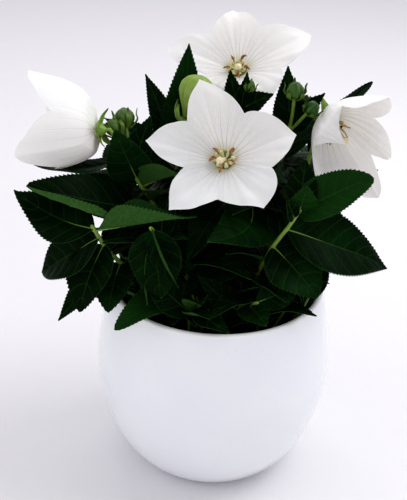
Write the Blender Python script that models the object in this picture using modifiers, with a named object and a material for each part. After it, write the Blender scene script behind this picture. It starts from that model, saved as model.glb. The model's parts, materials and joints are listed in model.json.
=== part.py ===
"""Potted balloon flower: a round white glazed pot of soil, leafy stems, four open blooms and a closed bud.

Sizes and places are in millimetres, with the pot standing on z = 0, its axis at x = y = 0 and the front of
the plant towards -Y. MM turns them into metres when a mesh is made.
"""

import math
from dataclasses import dataclass

import bmesh
import bpy
from mathutils import Matrix
from mathutils import Vector

MM = 0.001
GAP = 0.3

# Pot
POT_HEIGHT = 106.0
POT_BELLY_RADIUS = 62.0
POT_BELLY_HEIGHT = 61.0
POT_RIM_RADIUS = 55.5
POT_FOOT_RADIUS = 32.0
POT_WALL = 3.2
POT_FLOOR = 5.0
POT_LOWER_POWER = 1.81
POT_UPPER_POWER = 1.30
INNER_HEIGHTS = (8.0, 20.0, 36.0, 61.0, 84.0)
POT_SIDES = 30

# Soil
SOIL_HEIGHT = 94.0
HOLE_DEPTH = 9.0

# Leaves
BLADE = 0.62
PETIOLE_WIDTH = 1.6
WIDEST_POWER = 0.72
TOOTH_DEPTH = 0.05
DROOP = 0.25

# Flowers
PETAL_THICKNESS = 0.62
THROAT_RADIUS = 2.3
PETAL_COLUMNS = 6
PETAL_ROWS = 4
PETAL_CUPPING = 2.2
CUP_RADIUS = 3.4
CUP_HEIGHT = 4.4
CUP_TOP = -0.7
SEPAL_LENGTH = 9.5
SEPAL_RADIUS = 0.85

GLAZE = ("white_glaze", (0.80, 0.81, 0.84), 0.12)
EARTH = ("potting_soil", (0.022, 0.016, 0.012), 0.95)
GREEN = ("leaf_green", (0.020, 0.085, 0.012), 0.42)
WHITE = ("petal_white", (0.86, 0.84, 0.82), 0.60)
CREAM = ("centre_cream", (0.78, 0.66, 0.36), 0.60)
LIME = ("bud_lime", (0.36, 0.48, 0.10), 0.50)


@dataclass(frozen=True)
class Leaf:
    """One blade: the share of the stem where it grows, its tip, its width and the way its upper side faces.

    bow is how far its midrib bends aside, as a share of its length, and blunt rounds its outline below 1.
    """

    at: float
    tip: tuple
    width: float
    face: tuple = (0.0, 0.0, 1.0)
    arch: float = 0.10
    fold: float = 16.0
    bow: float = 0.0
    blunt: float = 1.0
    teeth: int = 5


@dataclass(frozen=True)
class Bud:
    """A small green bud on a stalk: the share of the stem where it grows, its centre, radius and length."""

    at: float
    centre: tuple
    radius: float
    length: float


@dataclass(frozen=True)
class Bloom:
    """An open flower: its throat, the way it faces, and the bearing, reach and height of each petal's tip.

    notch is how far out each gap after a petal ends, and power rounds the lobes above 1. tall and lean
    shorten and bend the style.
    """

    name: str
    throat: tuple
    bearing: float
    lift: float
    petals: tuple
    swell: float = 1.0
    depth_power: float = 1.9
    notch: tuple = (0.61, 0.61, 0.61, 0.61, 0.61)
    power: float = 1.28
    eye: float = 4.5
    splay: tuple = ((3.2, 4.2), (5.6, 5.9), (8.4, 5.4))
    tall: float = 1.0
    lean: tuple = (0.0, 0.0)


@dataclass(frozen=True)
class Stem:
    """A leafy stem: the points that it grows through from the soil up, its radii, and what it carries."""

    name: str
    route: tuple
    radii: tuple = (1.4, 0.95)
    leaves: tuple = ()
    buds: tuple = ()
    bloom: Bloom | None = None
    closed_bud: bool = False


BELL_SPLAY = ((2.4, 4.2), (3.3, 8.0), (4.2, 11.5))

BLOOM_FRONT = Bloom(
    "bloom_front", (1.5, -16.0, 177.0), -102.0, 48.0,
    ((23.0, 34.5, 11.0), (116.5, 38.5, 12.0), (179.0, 36.5, 11.0), (240.0, 36.5, 11.0), (314.0, 34.0, 11.0)),
    notch=(0.60, 0.62, 0.50, 0.66, 0.70), tall=0.1, lean=(-1.2, -3.0),
)
BLOOM_BACK = Bloom(
    "bloom_back", (6.2, 33.0, 205.0), -105.0, 56.0,
    ((33.0, 39.0, 10.0), (107.0, 30.5, 13.0), (178.0, 36.0, 11.5), (258.0, 19.0, 6.0), (317.0, 31.0, 11.0)),
    notch=(0.60, 0.58, 0.56, 0.64, 0.66), tall=0.1, lean=(1.0, -1.6),
)
BLOOM_LEFT = Bloom(
    "bloom_left", (-60.0, -5.0, 185.5), 172.0, 12.0,
    ((80.0, 22.0, 35.5), (146.0, 19.0, 31.0), (206.0, 18.0, 26.0), (268.0, 25.0, 28.0), (338.0, 30.0, 29.0)),
    swell=0.28, depth_power=1.1, notch=(0.46, 0.46, 0.46, 0.62, 0.46), power=1.15, eye=3.2, splay=BELL_SPLAY,
)
BLOOM_RIGHT = Bloom(
    "bloom_right", (50.3, 4.5, 192.9), -68.0, -15.0,
    ((63.0, 29.1, 24.0), (150.0, 21.0, 31.0), (222.0, 21.0, 26.0), (305.0, 34.5, 30.0), (350.0, 19.0, 30.0)),
    swell=0.42, depth_power=1.1, notch=(0.54, 0.56, 0.56, 0.50, 0.42), power=1.5, eye=3.2,
    splay=((2.1, 3.9), (4.4, 9.5), (6.8, 14.0)), tall=1.35, lean=(3.0, -5.0),
)

BALLOON_FOOT = (-17.7, 8.8, 188.9)
BALLOON_TOP = (-10.7, 11.2, 209.2)
BALLOON_RADIUS = 8.2

STEMS = (
    Stem(
        "stem_front",
        ((5, -3, 94), (11, -5, 118), (15, -8, 142), (14, -9, 158), (8, -9, 167)),
        bloom=BLOOM_FRONT,
        leaves=(
            Leaf(0.66, (-4.4, -52, 154), 27, (0.15, -0.72, 0.68), 0.06, 12, 0.17, 0.85, 6),
            Leaf(0.30, (-14, -38, 118), 24, (-0.1, -0.5, 0.85), 0.12, 16, 0.0, 0.85, 6),
        ),
    ),
    Stem(
        "stem_back",
        ((4, 14, 94), (8, 24, 122), (10, 33, 152), (9, 37, 178), (8, 38, 192)),
        bloom=BLOOM_BACK,
        leaves=(
            Leaf(0.86, (30, 62, 203), 18, (0.3, 0.3, 0.9), 0.08, 18, 0.0, 1.0, 4),
            Leaf(0.76, (-18, 72, 190), 22, (-0.2, 0.3, 0.9), 0.10, 16, 0.0, 1.0, 4),
            Leaf(0.60, (40, 74, 166), 24, (0.3, 0.4, 0.85), 0.12, 16, 0.0, 1.0, 4),
            Leaf(0.44, (-2, 84, 142), 24, (0.0, 0.45, 0.9), 0.14, 16, 0.0, 1.0, 4),
            Leaf(0.34, (-26, 32, 121), 24, (-0.1, -0.3, 0.9), 0.14, 16, 0.0, 1.0, 4),
            Leaf(0.26, (18, 54, 122), 22, (0.2, 0.0, 0.95), 0.12, 16, 0.0, 1.0, 4),
        ),
    ),
    Stem(
        "stem_left",
        ((-12, 2, 94), (-22, 0, 122), (-32, -3, 146), (-41, -6, 163), (-46, -6, 175)),
        bloom=BLOOM_LEFT,
        buds=(Bud(0.80, (-47.5, 6, 188.3), 5.0, 10.4), Bud(0.84, (-52, 1, 185), 4.5, 9.2)),
        leaves=(
            Leaf(0.72, (-49, -17, 191), 16, (-0.1, -0.9, 0.4), 0.04, 20, 0.0, 1.0, 4),
            Leaf(0.66, (-17, -25, 174), 18, (0.1, 0.45, 0.88), 0.05, 34, 0.0, 1.0, 4),
            Leaf(0.62, (-98.5, 5, 165.5), 23, (-0.05, 0.24, 0.97), -0.06, 8, 0.0, 1.0, 7),
            Leaf(0.45, (-87.5, -31, 168.4), 16, (-0.05, -0.2, 0.98), 0.01, 48, 0.0, 1.0, 7),
            Leaf(0.40, (-67, -4, 145.5), 21, (-0.1, -0.35, 0.93), 0.04, 14, 0.0, 0.8, 5),
            Leaf(0.80, (-35.3, 9, 189), 13, (0.0, -0.75, 0.66), 0.06, 18, 0.0, 1.0, 4),
            Leaf(0.36, (-54, 9, 124), 20, (-0.2, 0.1, 0.95), 0.12, 16, 0.0, 0.8, 4),
            Leaf(0.24, (-46, -12, 112), 24, (-0.2, -0.2, 0.95), 0.14, 16, 0.0, 0.8, 4),
        ),
    ),
    Stem(
        "stem_left_low",
        ((-20, -11, 94), (-38, -20, 114), (-52, -28, 134), (-59, -31, 148)),
        leaves=(
            Leaf(0.97, (-95, -27, 164), 27, (-0.2, -0.42, 0.88), -0.03, 4, 0.09, 1.0, 5),
            Leaf(0.95, (-10.4, -41, 161.3), 13, (0.05, 0.26, 0.96), 0.00, 60, 0.0, 0.8, 7),
            Leaf(0.84, (-85.8, -24, 118.2), 27, (-0.5, -0.55, 0.67), 0.08, 12, 0.05, 0.65, 5),
            Leaf(0.74, (-63.9, -47, 110.8), 24, (-0.4, -0.82, 0.4), 0.06, 18, 0.0, 0.8, 4),
            Leaf(0.60, (-75, -42, 102), 13, (-0.3, -0.85, 0.4), 0.05, 24, 0.0, 1.0, 5),
            Leaf(0.52, (-50, -48, 112.2), 20, (-0.2, -0.85, 0.5), 0.08, 14, 0.0, 0.7, 4),
        ),
    ),
    Stem(
        "stem_front_left",
        ((-7, -17, 94), (-14, -24, 118), (-24, -33, 140), (-31, -38, 152)),
        radii=(1.25, 0.8),
        leaves=(
            Leaf(0.96, (-25.4, -48, 120.9), 24, (0.0, -0.98, 0.0), 0.03, 22, 0.0, 0.75, 4),
            Leaf(0.86, (-31.4, -51, 118.5), 9, (-0.8, -0.4, 0.3), 0.04, 45, -0.1, 1.0, 4),
            Leaf(0.99, (-17.3, -54, 130), 8, (-0.8, -0.45, 0.4), 0.03, 50, 0.0, 1.0, 4),
            Leaf(0.20, (-44.7, -60, 112.5), 13, (-0.05, 0.24, 0.97), 0.03, 58, 0.0, 0.6, 7),
            Leaf(0.50, (-11, -44, 136), 11, (0.3, -0.9, 0.3), 0.05, 16, 0.0, 1.0, 3),
        ),
    ),
    Stem(
        "stem_back_left",
        ((-9, 8, 94), (-16, 12, 124), (-22, 15, 152), (-23, 13, 172)),
        closed_bud=True,
        leaves=(
            Leaf(0.74, (-18.0, 22.0, 221), 22, (0.1, -0.95, 0.3), 0.00, 3, 0.0, 1.0, 7),
            Leaf(0.84, (-39.6, 32, 202.5), 14, (0.15, -0.85, 0.5), 0.04, 20, 0.0, 1.0, 4),
            Leaf(0.76, (-37.5, 5.5, 178), 17, (-0.1, -0.75, 0.66), 0.06, 16, 0.0, 0.9, 4),
            Leaf(0.62, (-62, 42, 176), 24, (-0.3, 0.1, 0.95), 0.10, 16, 0.0, 1.0, 4),
            Leaf(0.48, (-52, 62, 152), 25, (-0.3, 0.4, 0.85), 0.12, 16, 0.0, 1.0, 4),
            Leaf(0.34, (-48, 19.5, 124), 20, (-0.2, 0.0, 0.95), 0.14, 16, 0.0, 1.0, 4),
        ),
    ),
    Stem(
        "stem_centre",
        ((2, 5, 94), (3, 7, 124), (4, 8, 154), (6, 7, 180), (8, 5, 197)),
        radii=(1.25, 0.8),
        buds=(Bud(0.98, (11.5, 3, 208), 2.6, 6.0),),
        leaves=(
            Leaf(0.88, (2.0, 8, 213.5), 11, (-0.3, -0.9, 0.2), 0.05, 20, 0.0, 1.0, 3),
            Leaf(0.96, (10.2, 1, 214.5), 8, (0.3, -0.9, 0.2), 0.05, 24, 0.0, 1.0, 3),
            Leaf(0.97, (22.3, -2, 206), 11, (0.2, -0.8, 0.6), 0.05, 18, 0.0, 1.0, 3),
            Leaf(0.62, (-15.5, -12.5, 164), 20, (-0.2, -0.5, 0.8), 0.08, 16, 0.0, 1.0, 4),
            Leaf(0.50, (28, 36, 124), 18, (0.1, -0.3, 0.9), 0.14, 16, 0.0, 1.0, 4),
            Leaf(0.42, (-14, -40, 138), 20, (-0.1, -0.6, 0.8), 0.10, 16, 0.0, 1.0, 7),
        ),
    ),
    Stem(
        "stem_right_top",
        ((11, 8, 94), (17, 10, 122), (24, 9, 150), (30, 5, 174), (32, 1, 191)),
        buds=(Bud(0.97, (32.2, -6, 209.5), 4.1, 9.0), Bud(0.92, (40.3, -9, 202.5), 3.6, 7.4)),
        leaves=(
            Leaf(0.88, (28.4, -1, 218.6), 15, (-0.1, -0.95, 0.25), 0.04, 18, 0.0, 1.0, 5),
            Leaf(0.94, (45.5, -7, 209), 12, (-0.1, -0.8, 0.6), 0.05, 22, 0.0, 1.0, 4),
            Leaf(0.70, (44, 56.5, 188), 22, (0.3, 0.3, 0.9), 0.10, 16, 0.0, 1.0, 4),
            Leaf(0.55, (46, 62, 154), 25, (0.3, 0.4, 0.85), 0.12, 16, 0.0, 1.0, 4),
        ),
    ),
    Stem(
        "stem_right",
        ((13, -1, 94), (24, -2, 122), (34, -1, 148), (41, 5, 166), (45, 12, 178)),
        bloom=BLOOM_RIGHT,
        leaves=(
            Leaf(0.88, (69.5, 24, 206), 15, (0.05, 0.5, 0.86), 0.04, 10, 0.0, 1.0, 6),
            Leaf(0.60, (23, -27, 176), 19, (0.0, -0.65, 0.76), 0.06, 18, 0.0, 1.0, 5),
            Leaf(0.44, (71, 6, 121), 25, (0.35, -0.1, 0.93), 0.10, 16, 0.0, 0.85, 6),
            Leaf(0.34, (60, -8, 122), 26, (0.3, -0.2, 0.9), 0.12, 16, 0.0, 0.85, 5),
            Leaf(0.20, (46, 20, 112), 24, (0.2, 0.1, 0.95), 0.14, 16, 0.0, 1.0, 4),
        ),
    ),
    Stem(
        "stem_right_low",
        ((15, -9, 94), (20, -20, 120), (26, -30, 141), (32, -33, 153), (37, -32, 162)),
        radii=(1.25, 0.8),
        leaves=(
            Leaf(0.94, (68.5, -30, 178.3), 20, (-0.1, -0.7, 0.7), 0.00, 22, 0.04, 0.55, 5),
            Leaf(0.99, (38.5, -21, 182), 15, (-0.1, -0.8, 0.6), 0.03, 16, 0.0, 1.0, 3),
            Leaf(0.97, (38.5, -37, 175.5), 14, (0.15, -0.9, 0.3), 0.04, 14, 0.0, 0.8, 3),
            Leaf(0.72, (85.5, -15, 124.8), 30, (0.25, -0.7, 0.67), 0.04, 10, 0.0, 1.0, 7),
            Leaf(0.50, (47.4, -46, 124.3), 28, (0.3, -0.75, 0.58), 0.06, 12, 0.0, 0.75, 4),
            Leaf(0.86, (29.5, -43, 171.5), 7, (0.2, -0.8, 0.5), 0.05, 24, 0.0, 1.0, 3),
        ),
    ),
    Stem(
        "stem_front_low",
        ((9, -22, 94), (13, -31, 108), (20, -40, 116)),
        radii=(1.1, 0.75),
        leaves=(
            Leaf(0.30, (-8, -44, 131), 14, (0.35, -0.85, 0.4), 0.04, 22, 0.0, 1.0, 5),
            Leaf(0.95, (42, -33, 124), 14, (0.2, -0.75, 0.62), 0.06, 18, 0.0, 1.0, 3),
            Leaf(0.70, (24, -49, 109.5), 17, (0.1, -0.6, 0.8), 0.08, 16, 0.0, 0.8, 3),
        ),
    ),
    Stem(
        "stem_back_low",
        ((-4, 22, 94), (-8, 34, 116), (-14, 45, 136), (-18, 52, 148)),
        radii=(1.25, 0.8),
        leaves=(
            Leaf(0.97, (-46, 78, 156), 24, (-0.3, 0.4, 0.85), 0.10, 16, 0.0, 1.0, 4),
            Leaf(0.93, (3.5, 87, 167), 22, (0.1, 0.4, 0.9), 0.10, 16, 0.0, 1.0, 4),
            Leaf(0.70, (-62, 66, 124), 23, (-0.4, 0.45, 0.8), 0.12, 16, 0.0, 1.0, 4),
            Leaf(0.50, (-8, 80, 116), 22, (0.0, 0.6, 0.8), 0.12, 16, 0.0, 1.0, 4),
        ),
    ),
    Stem(
        "stem_back_right",
        ((16, 18, 94), (27, 28, 114), (38, 37, 134), (46, 42, 147)),
        radii=(1.25, 0.8),
        leaves=(
            Leaf(0.97, (86, 44, 158), 24, (0.3, 0.2, 0.93), 0.10, 16, 0.0, 1.0, 4),
            Leaf(0.92, (52, 84.5, 147), 23, (0.2, 0.5, 0.85), 0.10, 16, 0.0, 1.0, 4),
            Leaf(0.74, (74, 34, 112), 24, (0.45, 0.1, 0.88), 0.12, 16, 0.0, 0.85, 4),
        ),
    ),
    Stem(
        "stem_back_left_low",
        ((-17, 13, 94), (-30, 20, 114), (-42, 27, 132), (-50, 30, 144)),
        radii=(1.25, 0.8),
        leaves=(
            Leaf(0.97, (-84, 36, 137), 24, (-0.3, 0.2, 0.93), 0.10, 16, 0.0, 1.0, 4),
            Leaf(0.80, (-84, 52, 120), 22, (-0.5, 0.3, 0.8), 0.12, 16, 0.0, 1.0, 4),
        ),
    ),
)


def clear_scene():
    """Removes what the file starts with."""
    for obj in list(bpy.data.objects):
        bpy.data.objects.remove(obj, do_unlink=True)


def new_collection(name):
    """A new collection in the scene."""
    made = bpy.data.collections.new(name)
    bpy.context.scene.collection.children.link(made)
    return made


def new_material(name, colour, roughness):
    """A Principled material of one colour and roughness."""
    made = bpy.data.materials.new(name)
    made.use_nodes = True
    shader = made.node_tree.nodes["Principled BSDF"]
    shader.inputs["Base Color"].default_value = (*colour, 1.0)
    shader.inputs["Roughness"].default_value = roughness
    shader.inputs["Metallic"].default_value = 0.0
    return made


def add_object(name, mesh, group):
    """Links a mesh or a curve into a collection as an object."""
    made = bpy.data.objects.new(name, mesh)
    group.objects.link(made)
    return made


def baked(obj, group):
    """A plain mesh object in place of a curve or of a mesh with modifiers, its loose caps welded."""
    name = obj.name
    bpy.context.view_layer.update()
    graph = bpy.context.evaluated_depsgraph_get()
    mesh = bpy.data.meshes.new_from_object(obj.evaluated_get(graph))
    mesh.transform(obj.matrix_world)
    bpy.data.objects.remove(obj, do_unlink=True)
    shape = bmesh.new()
    shape.from_mesh(mesh)
    bmesh.ops.remove_doubles(shape, verts=shape.verts, dist=0.005 * MM)
    bmesh.ops.recalc_face_normals(shape, faces=shape.faces)
    shape.to_mesh(mesh)
    shape.free()
    return add_object(name, mesh, group)


def turned(name, profile, sides, group):
    """A turned solid about z: the profile is (radius, height) in mm, top to bottom down its outer side."""
    mesh = bpy.data.meshes.new(name)
    shape = bmesh.new()
    points = [shape.verts.new((radius * MM, 0.0, height * MM)) for radius, height in profile]
    for first, second in zip(points, points[1:]):
        shape.edges.new((first, second))
    shape.to_mesh(mesh)
    shape.free()
    obj = add_object(name, mesh, group)
    screw = obj.modifiers.new("turn", "SCREW")
    screw.angle = math.tau
    screw.steps = sides
    screw.render_steps = sides
    screw.use_merge_vertices = True
    screw.merge_threshold = 0.02 * MM
    return baked(obj, group)


def tube(name, points, radii, group, level=1):
    """A closed round tube through points in mm, with a radius in mm at each."""
    data = bpy.data.curves.new(name, "CURVE")
    data.dimensions = "3D"
    data.bevel_depth = MM
    data.bevel_resolution = level
    data.use_fill_caps = True
    spline = data.splines.new("POLY")
    spline.points.add(len(points) - 1)
    for point, place, radius in zip(spline.points, points, radii):
        point.co = (place[0] * MM, place[1] * MM, place[2] * MM, 1.0)
        point.radius = radius
    return baked(add_object(name, data, group), group)


def smooth_point(route, share):
    """The point at a share of the smooth curve through a route's points."""
    points = [Vector(point) for point in route]
    last = len(points) - 1
    span = min(int(share * last), last - 1)
    t = share * last - span
    before = points[span - 1] if span > 0 else points[0] * 2 - points[1]
    after = points[span + 2] if span + 2 <= last else points[last] * 2 - points[last - 1]
    start, end = points[span], points[span + 1]
    return 0.5 * (
        2 * start
        + (end - before) * t
        + (2 * before - 5 * start + 4 * end - after) * t * t
        + (3 * start - before - 3 * end + after) * t * t * t
    )


def facing(bearing, lift):
    """The unit vector at a bearing round z and a lift above level, in degrees."""
    level = math.cos(math.radians(lift))
    return Vector((
        level * math.cos(math.radians(bearing)),
        level * math.sin(math.radians(bearing)),
        math.sin(math.radians(lift)),
    ))


def frame_on(origin, axis):
    """The matrix in metres of a frame with z along an axis and x level, its origin given in mm."""
    z_axis = Vector(axis).normalized()
    x_axis = Vector((0.0, 0.0, 1.0)).cross(z_axis)
    if x_axis.length < 0.05:
        x_axis = Vector((1.0, 0.0, 0.0))
    x_axis.normalize()
    y_axis = z_axis.cross(x_axis).normalized()
    x_axis = y_axis.cross(z_axis)
    frame = Matrix((x_axis, y_axis, z_axis)).transposed().to_4x4()
    frame.translation = Vector(origin) * MM
    return frame


def pot_outer_radius(height):
    """The pot's outer radius at a height: a full belly that narrows to the foot and to the rim."""
    if height <= POT_BELLY_HEIGHT:
        share = 1.0 - height / POT_BELLY_HEIGHT
        swell = (1.0 - share**POT_LOWER_POWER) ** (1.0 / POT_LOWER_POWER)
        return POT_FOOT_RADIUS + (POT_BELLY_RADIUS - POT_FOOT_RADIUS) * swell
    share = (height - POT_BELLY_HEIGHT) / (POT_HEIGHT - POT_BELLY_HEIGHT)
    return POT_BELLY_RADIUS - (POT_BELLY_RADIUS - POT_RIM_RADIUS) * share**POT_UPPER_POWER


def pot_inner_radius(height):
    """The radius of the pot's inside at a height."""
    return pot_outer_radius(max(height, POT_FLOOR)) - POT_WALL


def make_pot(group):
    """The glazed pot: inside wall, rounded rim, outside wall and a flat foot."""
    lip = POT_WALL / 2
    outer_heights = (POT_HEIGHT - lip, 95.0, 83.0, 71.0, 59.0, 46.0, 33.0, 20.0, 9.0, 2.0)
    inside = [(0.0, POT_FLOOR), (pot_inner_radius(POT_FLOOR) - 3.0, POT_FLOOR)]
    inside += [(pot_inner_radius(height), height) for height in (*INNER_HEIGHTS, POT_HEIGHT - lip)]
    middle = POT_RIM_RADIUS - lip
    rim = [(middle + lip * math.cos(angle), POT_HEIGHT - lip + lip * math.sin(angle))
           for angle in (math.pi * 0.75, math.pi * 0.5, math.pi * 0.25)]
    outside = [(pot_outer_radius(height), height) for height in outer_heights]
    foot = [(POT_FOOT_RADIUS + 0.5, 0.0), (0.0, 0.0)]
    return turned("pot", inside + rim + outside + foot, POT_SIDES, group)


def make_soil(group, cutters):
    """The soil that fills the pot, a little proud in the middle, with a plain round hole for each stem."""
    edge = pot_inner_radius(92.5) - GAP - 0.3
    profile = [(0.0, SOIL_HEIGHT), (38.0, SOIL_HEIGHT), (edge, SOIL_HEIGHT - 1.5)]
    profile += [(pot_inner_radius(height) - GAP - 0.1, height) for height in reversed(INNER_HEIGHTS)]
    bottom = POT_FLOOR + GAP
    profile += [(pot_inner_radius(POT_FLOOR) - 4.5, bottom), (0.0, bottom)]
    soil = turned("soil", profile, POT_SIDES, group)
    for stem in STEMS:
        foot = stem.route[0]
        depth = HOLE_DEPTH + GAP
        shape = bmesh.new()
        middle = Matrix.Translation((foot[0] * MM, foot[1] * MM, (SOIL_HEIGHT + 2.0 - depth / 2) * MM))
        wide = (stem.radii[0] + 2.0 * GAP) * MM
        bmesh.ops.create_cone(
            shape, cap_ends=True, segments=6, radius1=wide, radius2=wide,
            depth=(depth + 4.0) * MM, matrix=middle,
        )
        mesh = bpy.data.meshes.new(f"hole_{stem.name}")
        shape.to_mesh(mesh)
        shape.free()
        cutter = add_object(f"hole_{stem.name}", mesh, cutters)
        cutter.hide_render = True
        cutter.display_type = "WIRE"
    cut = soil.modifiers.new("stem_holes", "BOOLEAN")
    cut.operation = "DIFFERENCE"
    cut.operand_type = "COLLECTION"
    cut.collection = cutters
    return soil


def half_width(leaf, share):
    """Half a blade's width at a share of its length: widest at about two fifths, pointed at the tip."""
    blade = 0.5 * leaf.width * max(math.sin(math.pi * share**WIDEST_POWER), 0.0) ** leaf.blunt
    return max(blade, 0.5 * PETIOLE_WIDTH * (1.0 - share))


def leaf_shape(leaf, base):
    """The middle surface of a blade in metres: folded along its midrib, arched and toothed on both edges."""
    start = Vector(base)
    chord = Vector(leaf.tip) - start
    length = chord.length
    along = chord / length
    up = Vector(leaf.face)
    up = (up - along * up.dot(along)).normalized()
    side = up.cross(along)
    rise = math.tan(math.radians(leaf.fold))
    shape = bmesh.new()
    bmesh.ops.create_grid(shape, x_segments=leaf.teeth, y_segments=2, size=0.5)
    edge_runs = [edge for edge in shape.edges
                 if edge.is_boundary and abs(edge.verts[0].co.y - edge.verts[1].co.y) < 0.1]
    cut = bmesh.ops.subdivide_edges(shape, edges=edge_runs, cuts=1)
    tooth_tips = {item for item in cut["geom_inner"] if isinstance(item, bmesh.types.BMVert)}
    for vert in shape.verts:
        share = vert.co.x + 0.5
        across = 2.0 * vert.co.y
        reach = half_width(leaf, share)
        if vert in tooth_tips:
            share = min(share + 0.28 / leaf.teeth, 0.985)
            reach = half_width(leaf, share) + TOOTH_DEPTH * leaf.width * math.sin(math.pi * share)
        reach *= across
        lift = leaf.arch * length * (4.0 * share * (1.0 - share) - DROOP * share) + rise * abs(reach)
        bend = leaf.bow * length * 4.0 * share * (1.0 - share)
        vert.co = (start + along * (length * share) + side * (reach + bend) + up * lift) * MM
    bmesh.ops.triangulate(shape, faces=shape.faces)
    return shape


def leaf_solid(name, leaf, base, group):
    """The blade as a closed solid of even thickness."""
    shape = leaf_shape(leaf, base)
    bmesh.ops.remove_doubles(shape, verts=shape.verts, dist=0.01 * MM)
    mesh = bpy.data.meshes.new(name)
    shape.to_mesh(mesh)
    shape.free()
    obj = add_object(name, mesh, group)
    solid = obj.modifiers.new("thickness", "SOLIDIFY")
    solid.thickness = BLADE * MM
    solid.offset = 0.0
    return baked(obj, group)


def make_cup(name, frame, group):
    """The green cup under a flower."""
    profile = (
        (0.0, CUP_TOP), (CUP_RADIUS - 0.5, CUP_TOP), (CUP_RADIUS, CUP_TOP - 0.8),
        (CUP_RADIUS * 0.72, CUP_TOP - 0.7 * CUP_HEIGHT), (0.9, CUP_TOP - CUP_HEIGHT),
        (0.0, CUP_TOP - CUP_HEIGHT),
    )
    cup = turned(f"{name}_cup", profile, 7, group)
    cup.data.transform(frame)
    return cup


def make_sepals(name, frame, bearings, path, group):
    """Narrow tapered sepals: path is (reach, height) of two or three points, repeated at each bearing."""
    for index, bearing in enumerate(bearings):
        level = facing(bearing, 0.0)
        points = [frame @ ((level * reach + Vector((0.0, 0.0, height))) * MM) / MM for reach, height in path]
        radii = (SEPAL_RADIUS, SEPAL_RADIUS * 0.8, 0.2)[-len(points):]
        tube(f"{name}_sepal_{index}", points, radii, group, level=0)


def make_petals(bloom, group):
    """The five petals, joined at the base into a bell whose edge runs out to five pointed lobes."""
    count = len(bloom.petals)
    shape = bmesh.new()
    bmesh.ops.create_grid(shape, x_segments=count * PETAL_COLUMNS, y_segments=PETAL_ROWS, size=0.5)
    frame = frame_on(bloom.throat, facing(bloom.bearing, bloom.lift))
    for vert in shape.verts:
        column = (vert.co.x + 0.5) * count
        petal = min(int(column), count - 1)
        aside = 2.0 * (column - petal) - 1.0
        bearing, reach, height = bloom.petals[petal]
        beside = bloom.petals[(petal + (1 if aside > 0 else -1)) % count]
        turn = (beside[0] - bearing + 180.0) % 360.0 - 180.0
        blend = 0.5 * (0.5 - 0.5 * math.cos(math.pi * abs(aside)))
        reach += (beside[1] - reach) * blend
        height += (beside[2] - height) * blend
        notch = bloom.notch[(petal if aside > 0 else petal - 1) % count]
        out = (vert.co.y + 0.5) * (1.0 - (1.0 - notch) * abs(aside) ** bloom.power)
        radius = THROAT_RADIUS + (reach - THROAT_RADIUS) * out**bloom.swell
        rise = height * (1.0 - (1.0 - out) ** bloom.depth_power) + PETAL_CUPPING * out * out * abs(aside)
        level = facing(bearing + 0.5 * turn * abs(aside), 0.0)
        vert.co = frame @ ((level * radius + Vector((0.0, 0.0, rise))) * MM)
    bmesh.ops.remove_doubles(shape, verts=shape.verts, dist=0.01 * MM)
    bmesh.ops.triangulate(shape, faces=shape.faces)
    bmesh.ops.recalc_face_normals(shape, faces=shape.faces)
    mesh = bpy.data.meshes.new(f"{bloom.name}_petals")
    shape.to_mesh(mesh)
    shape.free()
    obj = add_object(f"{bloom.name}_petals", mesh, group)
    solid = obj.modifiers.new("thickness", "SOLIDIFY")
    solid.thickness = PETAL_THICKNESS * MM
    solid.offset = 0.0
    return baked(obj, group)


def make_centre(bloom, group, pieces):
    """The cream style with its round tip and its ring of filament bases, and five withered stamens."""
    eye = bloom.eye
    neck = 4.0 + 3.0 * bloom.tall
    low = 4.0 + 1.1 * min(bloom.tall, 1.0)
    profile = (
        (0.0, neck + 3.2), (1.5, neck + 2.6), (1.9, neck + 1.2), (1.1, neck), (0.6 * eye, low), (eye, 3.7),
        (1.6, 1.6), (1.6, CUP_TOP + GAP), (0.0, CUP_TOP + GAP),
    )
    frame = frame_on(bloom.throat, facing(bloom.bearing, bloom.lift))
    name = f"{bloom.name}_centre"
    for index in range(5):
        level = facing(bloom.petals[index][0] + 30.0, 0.0)
        points = [(level * reach + Vector((0.0, 0.0, height))) for reach, height in bloom.splay]
        stamen = tube(f"{name}_stamen_{index}", points, (0.55, 0.75, 0.4), pieces, level=0)
        stamen.data.transform(frame)
    body = turned(name, profile, 8, group)
    for vert in body.data.vertices:
        lifted = min(max(vert.co.z / MM - 4.0, 0.0) / (neck - 4.0), 1.0) * MM
        vert.co.x += bloom.lean[0] * lifted
        vert.co.y += bloom.lean[1] * lifted
    body.data.transform(frame)
    return fused(body, pieces, group)


def fused(body, pieces, group):
    """One closed solid: the body with every piece of a collection joined to it, and the pieces removed."""
    join = body.modifiers.new("join", "BOOLEAN")
    join.operation = "UNION"
    join.operand_type = "COLLECTION"
    join.collection = pieces
    join.solver = "MANIFOLD"
    made = baked(body, group)
    for piece in list(pieces.objects):
        bpy.data.objects.remove(piece, do_unlink=True)
    return made


def make_balloon_bud(group):
    """The closed balloon bud: five soft lobes that swell towards the top."""
    foot = Vector(BALLOON_FOOT)
    axis = Vector(BALLOON_TOP) - foot
    length = axis.length
    shares = (1.0, 0.985, 0.90, 0.74, 0.54, 0.34, 0.16, 0.0)
    widths = (0.0, 0.34, 0.74, 0.98, 0.98, 0.72, 0.42, 0.24)
    profile = [(BALLOON_RADIUS * width, length * share) for share, width in zip(shares, widths)]
    profile.append((0.0, 0.0))
    bud = turned("bud_balloon", profile, 10, group)
    for vert in bud.data.vertices:
        angle = math.atan2(vert.co.y, vert.co.x)
        lobe = 1.0 + 0.05 * math.cos(5.0 * angle)
        vert.co.x *= lobe
        vert.co.y *= lobe
    bud.data.transform(frame_on(foot, axis))
    return bud


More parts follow.
